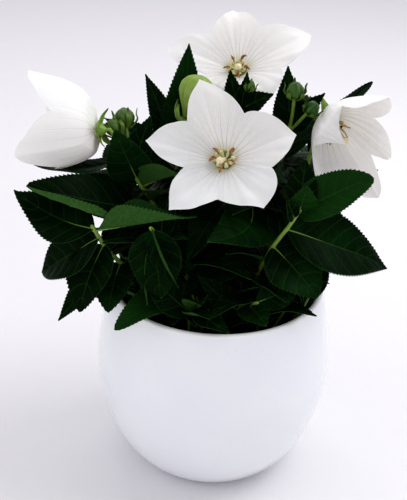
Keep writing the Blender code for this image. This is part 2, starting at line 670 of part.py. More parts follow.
def make_green_bud(name, bud, base, group):
    """A small closed green bud on its stalk, with the tips of its sepals round it."""
    centre = Vector(bud.centre)
    axis = (centre - Vector(base)).normalized()
    foot = centre - axis * (bud.length / 2)
    tube(f"{name}_stalk", (base, foot + axis), (0.9, 0.8), group, level=0)
    shares = (1.0, 0.84, 0.50, 0.16, 0.0)
    widths = (0.0, 0.68, 1.0, 0.66, 0.0)
    profile = [(bud.radius * width, bud.length * share) for share, width in zip(shares, widths)]
    body = turned(f"{name}_body", profile, 6, group)
    frame = frame_on(foot, axis)
    body.data.transform(frame)
    path = ((0.6 * bud.radius, 0.12 * bud.length), (1.35 * bud.radius, 0.9 * bud.length))
    make_sepals(name, frame, range(20, 380, 72), path, group)


def stem_path(stem):
    """The points that the stem's tube runs through, from the bottom of its hole to what it carries."""
    foot = Vector(stem.route[0])
    path = [foot - Vector((0.0, 0.0, HOLE_DEPTH - GAP))]
    route = list(stem.route)
    if stem.bloom:
        axis = facing(stem.bloom.bearing, stem.bloom.lift)
        route.append(tuple(Vector(stem.bloom.throat) - axis * (CUP_HEIGHT + 2.6)))
        end = Vector(stem.bloom.throat) - axis * (CUP_HEIGHT - 0.8)
    if stem.closed_bud:
        axis = (Vector(BALLOON_TOP) - Vector(BALLOON_FOOT)).normalized()
        route.append(tuple(Vector(BALLOON_FOOT) - axis * (CUP_HEIGHT + 2.6)))
        end = Vector(BALLOON_FOOT) - axis * (CUP_HEIGHT - 0.8)
    steps = len(route)
    path += [smooth_point(route, step / steps) for step in range(steps + 1)]
    if stem.bloom or stem.closed_bud:
        path.append(end)
    return path


def make_stalk(stem, group):
    """The bare stem as a tube that thins towards its top."""
    path = stem_path(stem)
    low, high = stem.radii
    radii = [low + (high - low) * index / (len(path) - 1) for index in range(len(path))]
    return tube(stem.name, path, radii, group)


def dress_stem(stem, pieces):
    """What the stem carries besides its leaves: the cup and sepals under its flower, and its small buds."""
    if stem.bloom:
        frame = frame_on(stem.bloom.throat, facing(stem.bloom.bearing, stem.bloom.lift))
        make_cup(stem.name, frame, pieces)
        bearings = []
        for index, petal in enumerate(stem.bloom.petals):
            ahead = stem.bloom.petals[(index + 1) % len(stem.bloom.petals)]
            bearings.append(petal[0] + 0.5 * ((ahead[0] - petal[0]) % 360.0))
        path = ((2.4, -2.2), (7.5, -1.6), (SEPAL_LENGTH + 1.5, -1.5))
        make_sepals(stem.name, frame, bearings, path, pieces)
    if stem.closed_bud:
        frame = frame_on(BALLOON_FOOT, Vector(BALLOON_TOP) - Vector(BALLOON_FOOT))
        make_cup(stem.name, frame, pieces)
        make_sepals(stem.name, frame, range(36, 396, 72), ((2.4, -2.2), (6.0, 1.0), (8.0, 6.0)), pieces)
    for index, bud in enumerate(stem.buds):
        make_green_bud(f"{stem.name}_bud_{index}", bud, smooth_point(stem.route, bud.at), pieces)


def finish(obj, finish_of):
    """Smooth shading with sharp corners kept, and the piece's own material."""
    name, colour, roughness = finish_of
    obj.data.materials.clear()
    obj.data.materials.append(new_material(f"{obj.name}_{name}", colour, roughness))
    obj.data.shade_smooth()
    obj.data.set_sharp_from_angle(angle=math.radians(40.0))


def main():
    """Makes the pot, the soil, the flowers and the leafy stems."""
    clear_scene()
    parts = new_collection("potted_balloon_flower")
    cutters = new_collection("stem_holes")
    finish(make_pot(parts), GLAZE)
    finish(make_soil(parts, cutters), EARTH)
    for stem in STEMS:
        pieces = new_collection(f"{stem.name}_pieces")
        if stem.bloom:
            finish(make_petals(stem.bloom, parts), WHITE)
            finish(make_centre(stem.bloom, parts, pieces), CREAM)
        if stem.closed_bud:
            finish(make_balloon_bud(parts), LIME)
        stalk = make_stalk(stem, parts)
        dress_stem(stem, pieces)
        for index, leaf in enumerate(stem.leaves):
            leaf_solid(f"{stem.name}_leaf_{index}", leaf, smooth_point(stem.route, leaf.at), pieces)
        finish(fused(stalk, pieces, parts), GREEN)
        bpy.data.collections.remove(pieces)


main()
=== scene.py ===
"""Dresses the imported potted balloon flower: glazed pot, soil, leaves, white blooms, buds and a studio.

Sizes and places are in millimetres in the part's own frame, with the pot standing on z = 0 and the front of
the plant towards -Y. They are turned into metres when a mesh is made.
"""

import json
import logging
import math
from dataclasses import dataclass, field
from enum import Enum

import bpy
import numpy as np
from mathutils import Matrix, Vector
from mathutils.bvhtree import BVHTree

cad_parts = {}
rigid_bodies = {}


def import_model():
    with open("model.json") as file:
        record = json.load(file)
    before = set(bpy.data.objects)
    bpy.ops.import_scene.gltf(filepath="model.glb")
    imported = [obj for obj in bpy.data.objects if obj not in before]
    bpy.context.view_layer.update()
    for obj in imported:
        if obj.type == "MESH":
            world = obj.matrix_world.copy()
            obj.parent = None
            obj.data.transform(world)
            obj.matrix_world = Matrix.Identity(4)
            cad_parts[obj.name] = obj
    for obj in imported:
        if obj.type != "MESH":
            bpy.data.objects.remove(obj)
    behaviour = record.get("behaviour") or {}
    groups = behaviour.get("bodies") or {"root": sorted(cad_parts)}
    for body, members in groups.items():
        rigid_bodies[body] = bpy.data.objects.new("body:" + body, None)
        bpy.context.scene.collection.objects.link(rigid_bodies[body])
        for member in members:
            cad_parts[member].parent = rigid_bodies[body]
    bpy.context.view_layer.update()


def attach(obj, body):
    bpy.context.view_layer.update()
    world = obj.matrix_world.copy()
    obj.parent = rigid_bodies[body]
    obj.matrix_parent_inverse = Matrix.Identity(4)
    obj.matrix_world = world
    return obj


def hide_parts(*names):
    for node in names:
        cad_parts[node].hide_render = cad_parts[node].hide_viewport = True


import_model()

MM = 0.001
LOG = logging.getLogger("potted_plant")

Array = np.ndarray
Draw = np.random.Generator
Material = bpy.types.Material
Socket = bpy.types.NodeSocket
Point = tuple[float, float, float]
Pair = tuple[float, float]
Pairs = tuple[Pair, ...]
Colour = tuple[float, float, float]

PETAL_STEP = 72.0  # degrees from one petal, sepal or lobe to the next
PLAIN = (0.0, 0.0, 0.0)  # values of points that need none
BELL_SWELL = 0.6  # a flower whose petals swell less than this is a bell, not a star
STEM_SEED, BLOOM_SEED = 100, 200


class Slot(Enum):
    """The finish slots of the part's record."""

    GLAZE = "glaze"
    SOIL = "soil"
    LEAVES = "leaves"
    PETALS = "petals"
    CENTRE = "centre"
    BUD = "bud"


# The plant's sizes and places


@dataclass(frozen=True)
class Leaf:
    """One blade: the share of the stem where it grows, its tip, width, facing, arch and fold.

    bow is how far its midrib bends aside, as a share of its length, and blunt rounds its outline below 1.
    tone runs from 0 for a dark blade to 1 for a fresh one, or is left to chance below 0. curl is how far the
    margin on the blade's own left, seen from its foot, is turned over so that its pale underside shows.
    """

    at: float
    tip: Point
    width: float
    face: Point = (0.0, 0.0, 1.0)
    arch: float = 0.10
    fold: float = 16.0
    bow: float = 0.0
    blunt: float = 1.0
    tone: float = -1.0
    curl: float = 0.0


@dataclass(frozen=True)
class Bud:
    """A small green bud on a stalk: the share of the stem where it grows, its centre, radius and length."""

    at: float
    centre: Point
    radius: float
    length: float


@dataclass(frozen=True)
class Bloom:
    """An open flower: its throat, the way it faces, and the bearing, reach and height of each petal's tip.

    swell and depth_power shape the bell, notch is how far out each gap after a petal ends, and power rounds
    each lobe before and after its tip where it is above 1. eye is the radius of the ring of scales, splay is
    the route of an anther, and tall and lean shorten and bend the style. folded is the petal that is folded
    in over the mouth, if any, green is how green the throat is and how deep the painted shade near it is,
    and warm is how warm each petal's white is, a warmer petal taking less of that painted shade.
    """

    name: str
    throat: Point
    bearing: float
    lift: float
    petals: tuple[Point, ...]
    swell: float = 1.0
    depth_power: float = 1.9
    notch: tuple[float, ...] = (0.61, 0.61, 0.61, 0.61, 0.61)
    power: Pairs = ((1.15, 1.15),) * 5
    eye: float = 4.5
    splay: Pairs = ((3.2, 4.2), (5.6, 5.9), (8.4, 5.4))
    tall: float = 1.0
    lean: Pair = (0.0, 0.0)
    folded: int = -1
    green: float = 0.50
    warm: tuple[float, ...] = (0.4, 0.4, 0.4, 0.4, 0.4)

    @property
    def bell(self) -> bool:
        """Whether it hangs as a bell and doesn't open into a star."""
        return self.swell < BELL_SWELL

    def seat(self) -> "Seat":
        """The place of its throat and the way that it faces."""
        return Seat.on(self.throat, facing(self.bearing, self.lift))


@dataclass(frozen=True)
class Stem:
    """A leafy stem: the points that it grows through from the soil up, its radii, and what it carries."""

    name: str
    route: tuple[Point, ...]
    leaves: tuple[Leaf, ...] = ()
    radii: Pair = (1.35, 0.9)
    buds: tuple[Bud, ...] = ()
    bloom: Bloom | None = None
    closed_bud: bool = False

    def point(self, at: float) -> Array:
        """The point at a share of the way up it, in mm."""
        return smooth_points(self.route, np.array([at]))[0]


BLOOM_FRONT = Bloom(
    "bloom_front", (1.5, -16.0, 177.0), -102.0, 48.0,
    ((23.0, 34.5, 11.0), (117.2, 34.8, 20.0), (179.0, 36.5, 11.0), (240.0, 36.5, 11.0), (314.0, 34.0, 11.0)),
    notch=(0.575, 0.60, 0.50, 0.66, 0.70), tall=0.1, lean=(-1.2, -2.4), eye=5.0,
    power=((1.35, 1.20), (0.90, 0.97), (1.30, 1.15), (1.08, 1.0), (0.90, 2.6)),
    warm=(0.9, 1.0, 0.25, 0.0, 0.2),
)
BLOOM_BACK = Bloom(
    "bloom_back", (6.2, 33.0, 205.0), -105.0, 56.0,
    ((33.0, 39.0, 10.0), (107.0, 30.5, 13.0), (178.0, 36.0, 11.5), (258.0, 19.0, 6.0), (317.0, 31.0, 11.0)),
    notch=(0.60, 0.58, 0.56, 0.64, 0.66), tall=0.1, lean=(1.0, -1.6),
    power=((1.6, 1.3), (1.2, 1.0), (1.1, 1.3), (1.2, 1.2), (1.0, 1.2)), warm=(0.9, 0.9, 0.5, 0.6, 0.8),
)
BLOOM_LEFT = Bloom(
    "bloom_left", (-60.0, -5.0, 185.5), 172.0, -9.0,
    ((104.6, 29.9, 30.5), (160.0, 19.0, 30.0), (216.0, 17.0, 26.0), (268.0, 18.5, 24.0), (352.3, 21.5, 34.0)),
    swell=0.24, depth_power=1.1, notch=(0.46, 0.46, 0.46, 0.56, 0.43), eye=3.2, green=0.0,
    splay=((2.4, 4.2), (3.3, 8.0), (4.2, 11.5)),
    power=((0.92, 1.1), (1.15, 1.15), (1.15, 1.15), (1.2, 1.2), (1.1, 1.2)), warm=(0.0, 0.2, 0.2, 0.6, 0.6),
)
BLOOM_RIGHT = Bloom(
    "bloom_right", (50.3, 4.5, 192.9), -68.0, -15.0,
    ((63.0, 29.1, 24.0), (150.0, 21.0, 31.0), (222.0, 21.0, 26.0), (305.0, 34.5, 30.0), (350.0, 19.0, 30.0)),
    swell=0.42, depth_power=1.1, notch=(0.54, 0.56, 0.56, 0.50, 0.42), eye=3.2,
    splay=((2.1, 3.9), (5.0, 8.5), (7.6, 11.5)), tall=2.3, lean=(3.2, -4.6), folded=1, green=0.15,
    power=((1.3, 3.2), (1.5, 1.5), (1.5, 1.3), (1.0, 1.05), (1.4, 1.6)), warm=(0.3, 0.2, 0.3, 0.5, 0.5),
)

SLIM = (1.25, 0.8)  # the radii of a thinner stem

STEMS = (
    Stem("stem_front", ((5, -3, 94), (11, -5, 118), (15, -8, 142), (14, -9, 158), (8, -9, 167)), (
        Leaf(0.66, (-4.4, -52, 154), 27, (0.15, -0.72, 0.68), 0.06, 12, 0.17, 0.85, 0.6),
        Leaf(0.30, (-14, -38, 118), 24, (-0.1, -0.5, 0.85), 0.12, 16, 0.0, 0.85),
    ), bloom=BLOOM_FRONT),
    Stem("stem_back", ((4, 14, 94), (8, 24, 122), (10, 33, 152), (9, 37, 178), (8, 38, 192)), (
        Leaf(0.86, (30, 62, 203), 18, (0.3, 0.3, 0.9), 0.08, 18),
        Leaf(0.76, (-18, 72, 190), 22, (-0.2, 0.3, 0.9)),
        Leaf(0.60, (40, 74, 166), 24, (0.3, 0.4, 0.85), 0.12),
        Leaf(0.44, (-2, 84, 142), 24, (0.0, 0.45, 0.9), 0.14),
        Leaf(0.34, (-26, 32, 121), 24, (-0.1, -0.3, 0.9), 0.14),
        Leaf(0.26, (18, 54, 122), 22, (0.2, 0.0, 0.95), 0.12),
    ), bloom=BLOOM_BACK),
    Stem("stem_left", ((-12, 2, 94), (-22, 0, 122), (-32, -3, 146), (-41, -6, 163), (-46, -6, 175)), (
        Leaf(0.72, (-49.6, -17, 190.5), 21, (-0.1, -0.9, 0.4), 0.04, 20, 0.0, 0.9),
        Leaf(0.66, (-17, -25, 174), 18, (0.1, 0.45, 0.88), 0.05, 34),
        Leaf(0.95, (-96.5, -8, 170.0), 17, (0.0, 0.0, 1.0), -0.105, 10, 0.0, 0.9, 0.5),
        Leaf(0.50, (-86.5, -34, 170.5), 30, (-0.05, -0.52, 0.85), 0.04, 12, 0.10, 0.6, 0.1, 1.0),
        Leaf(0.40, (-67, -4, 145.5), 27, (-0.1, -0.35, 0.93), 0.04, 14, 0.0, 0.7),
        Leaf(0.80, (-35.3, 9, 189), 13, (0.0, -0.75, 0.66), 0.06, 18),
        Leaf(0.43, (-61.9, -12, 145.3), 16, (-0.1, -0.5, 0.86), 0.04, 14, 0.0, 0.8, 0.1),
        Leaf(0.36, (-54, 9, 124), 20, (-0.2, 0.1, 0.95), 0.12, 16, 0.0, 0.8),
        Leaf(0.24, (-46, -12, 112), 24, (-0.2, -0.2, 0.95), 0.14, 16, 0.0, 0.8),
    ), bloom=BLOOM_LEFT, buds=(Bud(0.80, (-47.5, 6, 188.3), 5.0, 10.4), Bud(0.84, (-52, 1, 185), 4.5, 9.2))),
    Stem("stem_left_low", ((-20, -11, 94), (-38, -20, 114), (-52, -28, 134), (-59, -31, 148)), (
        Leaf(0.97, (-95, -27, 164), 27, (-0.2, -0.42, 0.88), -0.03, 4, 0.09, 1.0, 0.3),
        Leaf(0.95, (-10.4, -41, 161.3), 13, (0.05, 0.26, 0.96), 0.0, 60, 0.0, 2.0, 1.0),
        Leaf(0.84, (-85.8, -24, 118.2), 27, (-0.5, -0.55, 0.67), 0.08, 12, 0.05, 0.65),
        Leaf(0.74, (-63.9, -47, 110.8), 24, (-0.40, -0.82, 0.4), 0.06, 18, 0.0, 0.8),
        Leaf(0.60, (-75, -42, 102), 13, (-0.3, -0.85, 0.4), 0.05, 24),
        Leaf(0.52, (-50, -48, 112.2), 20, (-0.2, -0.85, 0.5), 0.08, 14, 0.0, 0.7),
    )),
    Stem("stem_front_left", ((-7, -17, 94), (-14, -24, 118), (-24, -33, 140), (-31, -38, 152)), (
        Leaf(0.96, (-25.4, -48, 120.9), 24, (0.0, -0.98, 0.0), 0.03, 22, 0.0, 0.75),
        Leaf(0.86, (-31.4, -51, 118.5), 9, (-0.8, -0.4, 0.3), 0.04, 45, -0.10),
        Leaf(0.99, (-17.3, -54, 130), 8, (-0.8, -0.45, 0.4), 0.03, 50),
        Leaf(0.20, (-44.7, -60, 113.0), 19, (-0.1, -0.45, 0.88), 0.05, 24, 0.0, 0.6, 1.0),
        Leaf(0.50, (-11, -44, 136), 11, (0.3, -0.9, 0.3), 0.05),
    ), radii=SLIM),
    Stem("stem_back_left", ((-9, 8, 94), (-16, 12, 124), (-22, 15, 152), (-23, 13, 172)), (
        Leaf(0.74, (-18.0, 22.0, 221), 22, (0.1, -0.95, 0.3), 0.0, 3),
        Leaf(0.84, (-39.6, 32, 202.5), 14, (0.15, -0.85, 0.5), 0.04, 20),
        Leaf(0.76, (-37.5, 5.5, 178), 17, (-0.1, -0.75, 0.66), 0.06, 16, 0.0, 0.9),
        Leaf(0.62, (-62, 42, 176), 24, (-0.3, 0.1, 0.95)),
        Leaf(0.48, (-52, 62, 152), 25, (-0.3, 0.4, 0.85), 0.12),
        Leaf(0.34, (-48, 19.5, 124), 20, (-0.2, 0.0, 0.95), 0.14),
    ), closed_bud=True),
    Stem("stem_centre", ((2, 5, 94), (3, 7, 124), (4, 8, 154), (6, 7, 180), (8, 5, 197)), (
        Leaf(0.88, (2.0, 8, 213.5), 11, (-0.3, -0.9, 0.2), 0.05, 20),
        Leaf(0.96, (10.2, 1, 214.5), 8, (0.3, -0.9, 0.2), 0.05, 24),
        Leaf(0.97, (22.3, -2, 206), 11, (0.2, -0.8, 0.6), 0.05, 18),
        Leaf(0.62, (-15.5, -12.5, 164), 20, (-0.2, -0.5, 0.8), 0.08),
        Leaf(0.50, (28, 36, 124), 18, (0.1, -0.3, 0.9), 0.14),
        Leaf(0.42, (-14, -40, 138), 20, (-0.1, -0.6, 0.8)),
    ), radii=SLIM, buds=(Bud(0.98, (11.5, 3, 208), 2.6, 6.0),)),
    Stem("stem_right_top", ((11, 8, 94), (17, 10, 122), (24, 9, 150), (30, 5, 174), (32, 1, 191)), (
        Leaf(0.88, (28.4, -1, 218.6), 15, (-0.1, -0.95, 0.25), 0.04, 18),
        Leaf(0.94, (45.5, -7, 209), 12, (-0.1, -0.8, 0.6), 0.05, 22),
        Leaf(0.70, (44, 56.5, 188), 22, (0.3, 0.3, 0.9)),
        Leaf(0.55, (46, 62, 154), 25, (0.3, 0.4, 0.85), 0.12),
    ), buds=(Bud(0.97, (32.2, -6, 209.5), 4.1, 9.0), Bud(0.92, (40.3, -9, 202.5), 3.6, 7.4))),
    Stem("stem_right", ((13, -1, 94), (24, -2, 122), (34, -1, 148), (41, 5, 166), (45, 12, 178)), (
        Leaf(0.88, (71.3, 26, 205.6), 19, (0.05, 0.10, 0.99), 0.04, 10, 0.0, 0.8, 0.0),
        Leaf(0.60, (23, -27, 176), 19, (0.0, -0.65, 0.76), 0.06, 18, 0.0, 1.0, 0.6),
        Leaf(0.44, (71, 6, 121), 25, (0.35, -0.1, 0.93), 0.10, 16, 0.0, 0.85),
        Leaf(0.34, (60, -8, 122), 26, (0.3, -0.2, 0.9), 0.12, 16, 0.0, 0.85),
        Leaf(0.20, (46, 20, 112), 24, (0.2, 0.1, 0.95), 0.14),
    ), bloom=BLOOM_RIGHT),
    Stem("stem_right_low", ((15, -9, 94), (20, -20, 120), (26, -30, 141), (32, -33, 153), (37, -32, 162)), (
        Leaf(0.94, (68.5, -30, 178.3), 20, (-0.1, -0.70, 0.70), 0.0, 22, 0.04, 0.55, 0.95),
        Leaf(0.99, (38.5, -21, 182), 15, (-0.1, -0.8, 0.6), 0.03),
        Leaf(0.97, (38.5, -37, 175.5), 14, (0.15, -0.9, 0.3), 0.04, 14, 0.0, 0.8, 1.0),
        Leaf(0.72, (85.5, -15, 124.8), 30, (0.25, -0.70, 0.67), 0.04, 10, 0.0, 1.0, 0.25),
        Leaf(0.50, (47.4, -46, 124.3), 28, (0.3, -0.75, 0.58), 0.06, 12, 0.0, 0.75, 0.5),
        Leaf(0.86, (29.5, -43, 171.5), 7, (0.2, -0.8, 0.5), 0.05, 24),
    ), radii=SLIM),
    Stem("stem_front_low", ((9, -22, 94), (13, -31, 108), (20, -40, 116)), (
        Leaf(0.30, (-8, -44, 131), 14, (0.35, -0.85, 0.4), 0.04, 22),
        Leaf(0.95, (42, -33, 124), 14, (0.2, -0.75, 0.62), 0.06, 18),
        Leaf(0.70, (24, -49, 109.5), 17, (0.1, -0.6, 0.8), 0.08, 16, 0.0, 0.8),
    ), radii=(1.1, 0.75)),
    Stem("stem_back_low", ((-4, 22, 94), (-8, 34, 116), (-14, 45, 136), (-18, 52, 148)), (
        Leaf(0.97, (-46, 78, 156), 24, (-0.3, 0.4, 0.85)),
        Leaf(0.93, (3.5, 87, 167), 22, (0.1, 0.4, 0.9)),
        Leaf(0.70, (-62, 66, 124), 23, (-0.4, 0.45, 0.8), 0.12),
        Leaf(0.50, (-8, 80, 116), 22, (0.0, 0.6, 0.8), 0.12),
    ), radii=SLIM),
    Stem("stem_back_right", ((16, 18, 94), (27, 28, 114), (38, 37, 134), (46, 42, 147)), (
        Leaf(0.97, (84, 47, 150), 24, (0.3, 0.2, 0.93)),
        Leaf(0.92, (52, 84.5, 147), 23, (0.2, 0.5, 0.85)),
        Leaf(0.74, (74, 34, 112), 24, (0.45, 0.1, 0.88), 0.12, 16, 0.0, 0.85),
    ), radii=SLIM),
    Stem("stem_back_left_low", ((-17, 13, 94), (-30, 20, 114), (-42, 27, 132), (-50, 30, 144)), (
        Leaf(0.97, (-84, 36, 137), 24, (-0.3, 0.2, 0.93)),
        Leaf(0.80, (-84, 52, 120), 22, (-0.5, 0.3, 0.8), 0.12),
    ), radii=SLIM),
)

# Shapes


def unit(vectors: Array) -> Array:
    """The vectors at length one."""
    return vectors / np.maximum(np.linalg.norm(vectors, axis=-1, keepdims=True), 1e-9)


def ease(value: Array, low: float, high: float) -> Array:
    """A smooth rise from 0 at low to 1 at high."""
    share = np.clip((value - low) / (high - low), 0.0, 1.0)
    return share * share * (3.0 - 2.0 * share)


def smooth_points(route: tuple[Point, ...], shares: Array) -> Array:
    """Points on the smooth curve through a route.

    Args:
        route: the points that the curve runs through, in mm.
        shares: how far along the route each wanted point is, from 0 to 1.

    Returns:
        One row of x, y, z for each share.
    """
    points = np.array(route, float)
    last = len(points) - 1
    padded = np.vstack([2 * points[0] - points[1], points, 2 * points[last] - points[last - 1]])
    span = np.minimum((shares * last).astype(int), last - 1)
    t = (shares * last - span)[:, None]
    before, start, end, after = (padded[span + step] for step in range(4))
    return 0.5 * (
        2 * start
        + (end - before) * t
        + (2 * before - 5 * start + 4 * end - after) * t**2
        + (3 * start - before - 3 * end + after) * t**3
    )


def facing(bearing: float, lift: float) -> Array:
    """The unit vector at a bearing round z and a lift above level, in degrees."""
    turn, rise = math.radians(bearing), math.radians(lift)
    return np.array([math.cos(rise) * math.cos(turn), math.cos(rise) * math.sin(turn), math.sin(rise)])


@dataclass(frozen=True)
class Seat:
    """A place for a flower or a bud: an origin in mm and three axes, with z the way that it faces."""

    origin: Array
    axes: Array

    @classmethod
    def on(cls, origin: Point | Array, axis: Array) -> "Seat":
        """A seat with z along an axis and x level.

        Args:
            origin: where it stands, in mm.
            axis: the way that it faces.

        Returns:
            The seat.
        """
        z_axis = unit(np.array(axis, float))
        x_axis = np.cross([0.0, 0.0, 1.0], z_axis)
        if np.linalg.norm(x_axis) < 0.05:
            x_axis = np.array([1.0, 0.0, 0.0])
        y_axis = unit(np.cross(z_axis, x_axis))
        return cls(np.array(origin, float), np.array([np.cross(y_axis, z_axis), y_axis, z_axis]))

    def place(self, points: Array) -> Array:
        """Points of the seat's own frame as points of the part's frame."""
        return self.origin + np.asarray(points, float) @ self.axes


def triples(first: Array, second: Array, third: Array) -> Array:
    """Three grids spread over each other, as one grid of three numbers."""
    return np.stack(np.broadcast_arrays(first, second, third), axis=-1)


def polar(radius: Array, bearing: Array, height: Array) -> Array:
    """Points at a radius, a bearing in degrees and a height."""
    turn = np.radians(bearing)
    return triples(radius * np.cos(turn), radius * np.sin(turn), height)


def circle(count: int) -> Array:
    """Evenly spaced bearings in degrees, once round."""
    return np.linspace(0.0, 360.0, count, endpoint=False)


def off_petal(bearing: Array) -> Array:
    """How far each bearing lies from the nearest whole petal step, in degrees."""
    return (bearing + PETAL_STEP / 2) % PETAL_STEP - PETAL_STEP / 2


def grid_normals(points: Array, wrap: bool = False) -> Array:
    """The unit normal at each point of a grid of points.

    Args:
        points: rows by columns by 3.
        wrap: whether the last column joins the first.

    Returns:
        An array of the same shape.
    """
    down = np.gradient(points, axis=0)
    if wrap:
        across = np.roll(points, -1, axis=1) - np.roll(points, 1, axis=1)
    else:
        across = np.gradient(points, axis=1)
    return unit(np.cross(down, across))


@dataclass
class Shape:
    """A growing mesh: points in mm, four-cornered faces, and named values at each point."""

    points: list[Array] = field(default_factory=list)
    faces: list[Array] = field(default_factory=list)
    place: list[Array] = field(default_factory=list)
    mark: list[Array] = field(default_factory=list)
    side: list[Array] = field(default_factory=list)
    count: int = 0

    def add_points(self, points: Array, place: Array | Point, mark: Array | Point, side: float) -> Array:
        """Adds a grid of points with their values.

        Args:
            points: rows by columns by 3.
            place: the values named place, in a shape that spreads over the grid.
            mark: the values named mark, in a shape that spreads over the grid.
            side: the value named side, the same at every point.

        Returns:
            The number of each point, rows by columns.
        """
        rows, columns = points.shape[:2]
        self.points.append(points.reshape(-1, 3))
        self.place.append(np.broadcast_to(place, points.shape).reshape(-1, 3))
        self.mark.append(np.broadcast_to(mark, points.shape).reshape(-1, 3))
        self.side.append(np.full(rows * columns, side))
        numbers = np.arange(self.count, self.count + rows * columns).reshape(rows, columns)
        self.count += rows * columns
        return numbers

    def add_faces(self, numbers: Array, wrap: bool = False, flip: bool = False) -> None:
        """Fills a grid of numbered points with faces.

        Args:
            numbers: rows by columns, from add_points.
            wrap: whether the last column joins the first.
            flip: whether the faces look the other way.
        """
        if wrap:
            numbers = np.hstack([numbers, numbers[:, :1]])
        quads = np.stack([numbers[:-1, :-1], numbers[1:, :-1], numbers[1:, 1:], numbers[:-1, 1:]], axis=-1)
        quads = quads.reshape(-1, 4)
        self.faces.append(quads[:, ::-1] if flip else quads)

    def add_shell(self, upper: Array, lower: Array, place: Array | Point, mark: Array | Point,
                  wrap: bool = False) -> None:
        """Adds a thin closed body between two grids of points.

        Args:
            upper: the side that the grid's normals point away from the body on.
            lower: the other side, of the same shape.
            place: values of the points of both sides.
            mark: values of the points of both sides.
            wrap: whether the last column joins the first.
        """
        top = self.add_points(upper, place, mark, 1.0)
        base = self.add_points(lower, place, mark, 0.0)
        self.add_faces(top, wrap)
        self.add_faces(base, wrap, flip=True)
        self.add_faces(np.stack([base[0], top[0]]), wrap)
        self.add_faces(np.stack([top[-1], base[-1]]), wrap)
        if not wrap:
            self.add_faces(np.stack([top[:, 0], base[:, 0]]))
            self.add_faces(np.stack([base[:, -1], top[:, -1]]))

    def add_turned(self, points: Array, place: Array | Point = PLAIN, mark: Array | Point = PLAIN) -> None:
        """Adds a closed body from rings of points, its two end rings narrowed to almost nothing.

        Args:
            points: rings by points by 3, from one end to the other.
            place: values of the points.
            mark: values of the points.
        """
        numbers = self.add_points(points, place, mark, 1.0)
        self.add_faces(numbers, wrap=True)
        self.faces.append(numbers[:1])
        self.faces.append(numbers[-1:, ::-1])

    def add_tube(self, path: Array, radii: Array, sides: int, mark: Point = PLAIN) -> None:
        """Adds a round tube with rounded ends along a path.

        Args:
            path: the points that it runs through, in mm.
            radii: its radius at each.
            sides: how many sides it has round.
            mark: values of all its points.
        """
        along = unit(np.gradient(path, axis=0))
        aside = (0.31, 0.77, 0.55)  # a way that no tube starts in
        first = np.cross(along[0], aside)
        normals = [first / np.linalg.norm(first)]
        for ahead in along[1:]:
            turned = normals[-1] - ahead * np.dot(normals[-1], ahead)
            normals.append(turned / np.linalg.norm(turned))
        across = np.array(normals)
        beside = np.cross(along, across)
        angles = np.linspace(0.0, math.tau, sides, endpoint=False)
        cosine, sine = np.cos(angles)[None, :, None], np.sin(angles)[None, :, None]
        ring = across[:, None] * cosine + beside[:, None] * sine
        body = path[:, None] + ring * radii[:, None, None]
        blunt = ((0.55, 0.75), (0.9, 0.3))  # how far out and how wide each end ring is, in radii
        start = [path[0] - along[0] * radii[0] * out + ring[0] * radii[0] * wide for out, wide in blunt]
        stop = [path[-1] + along[-1] * radii[-1] * out + ring[-1] * radii[-1] * wide for out, wide in blunt]
        body = np.concatenate([np.array(start[::-1]), body, np.array(stop)])
        run = np.concatenate([[0.0], np.cumsum(np.linalg.norm(np.diff(path, axis=0), axis=1))])
        run = np.concatenate([[0.0, 0.0], run, [run[-1], run[-1]]])
        share = run / max(run[-1], 1e-6)
        place = triples(angles[None, :] / math.tau, run[:, None], share[:, None])
        self.add_turned(body[:, ::-1], place[:, ::-1], mark)

    def to_object(self, name: str, finish: Material, sharp: float = 50.0) -> bpy.types.Object:
        """Makes the object, in metres, with smooth shading and sharp edges where faces meet steeply.

        Args:
            name: the object's name.
            finish: its material.
            sharp: the angle in degrees from which an edge stays sharp.

        Returns:
            The object, linked into the scene.
        """
        points = np.concatenate(self.points).astype(np.float32) * MM
        corners = np.concatenate([faces.ravel() for faces in self.faces]).astype(np.int32)
        sizes = np.concatenate([np.full(len(faces), faces.shape[1]) for faces in self.faces])
        starts = np.concatenate([[0], np.cumsum(sizes)[:-1]]).astype(np.int32)
        mesh = bpy.data.meshes.new(name)
        mesh.vertices.add(len(points))
        mesh.vertices.foreach_set("co", points.ravel())
        mesh.loops.add(len(corners))
        mesh.loops.foreach_set("vertex_index", corners)
        mesh.polygons.add(len(starts))
        mesh.polygons.foreach_set("loop_start", starts)
        mesh.update(calc_edges=True)
        mesh.validate()
        for title, values in (("place", self.place), ("mark", self.mark)):
            layer = mesh.attributes.new(title, "FLOAT_VECTOR", "POINT")
            layer.data.foreach_set("vector", np.concatenate(values).astype(np.float32).ravel())
        layer = mesh.attributes.new("side", "FLOAT", "POINT")
        layer.data.foreach_set("value", np.concatenate(self.side).astype(np.float32))
        mesh.shade_smooth()
        mesh.set_sharp_from_angle(angle=math.radians(sharp))
        mesh.materials.append(finish)
        obj = bpy.data.objects.new(name, mesh)
        bpy.context.scene.collection.objects.link(obj)
        return obj


def settle(obj: bpy.types.Object, slot: Slot, *nodes: str) -> None:
    """Fixes a finished piece to the part and reports it.

    Args:
        obj: the piece.
        slot: the record's slot that its finish belongs to; not used.
        nodes: the CAD nodes that it stands for, if any.
    """
    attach(obj, "root")
    if nodes:
        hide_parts(*nodes)
    LOG.info("%s: %d faces, stands for %s", obj.name, len(obj.data.polygons), ", ".join(nodes) or "no node")


# Finishes


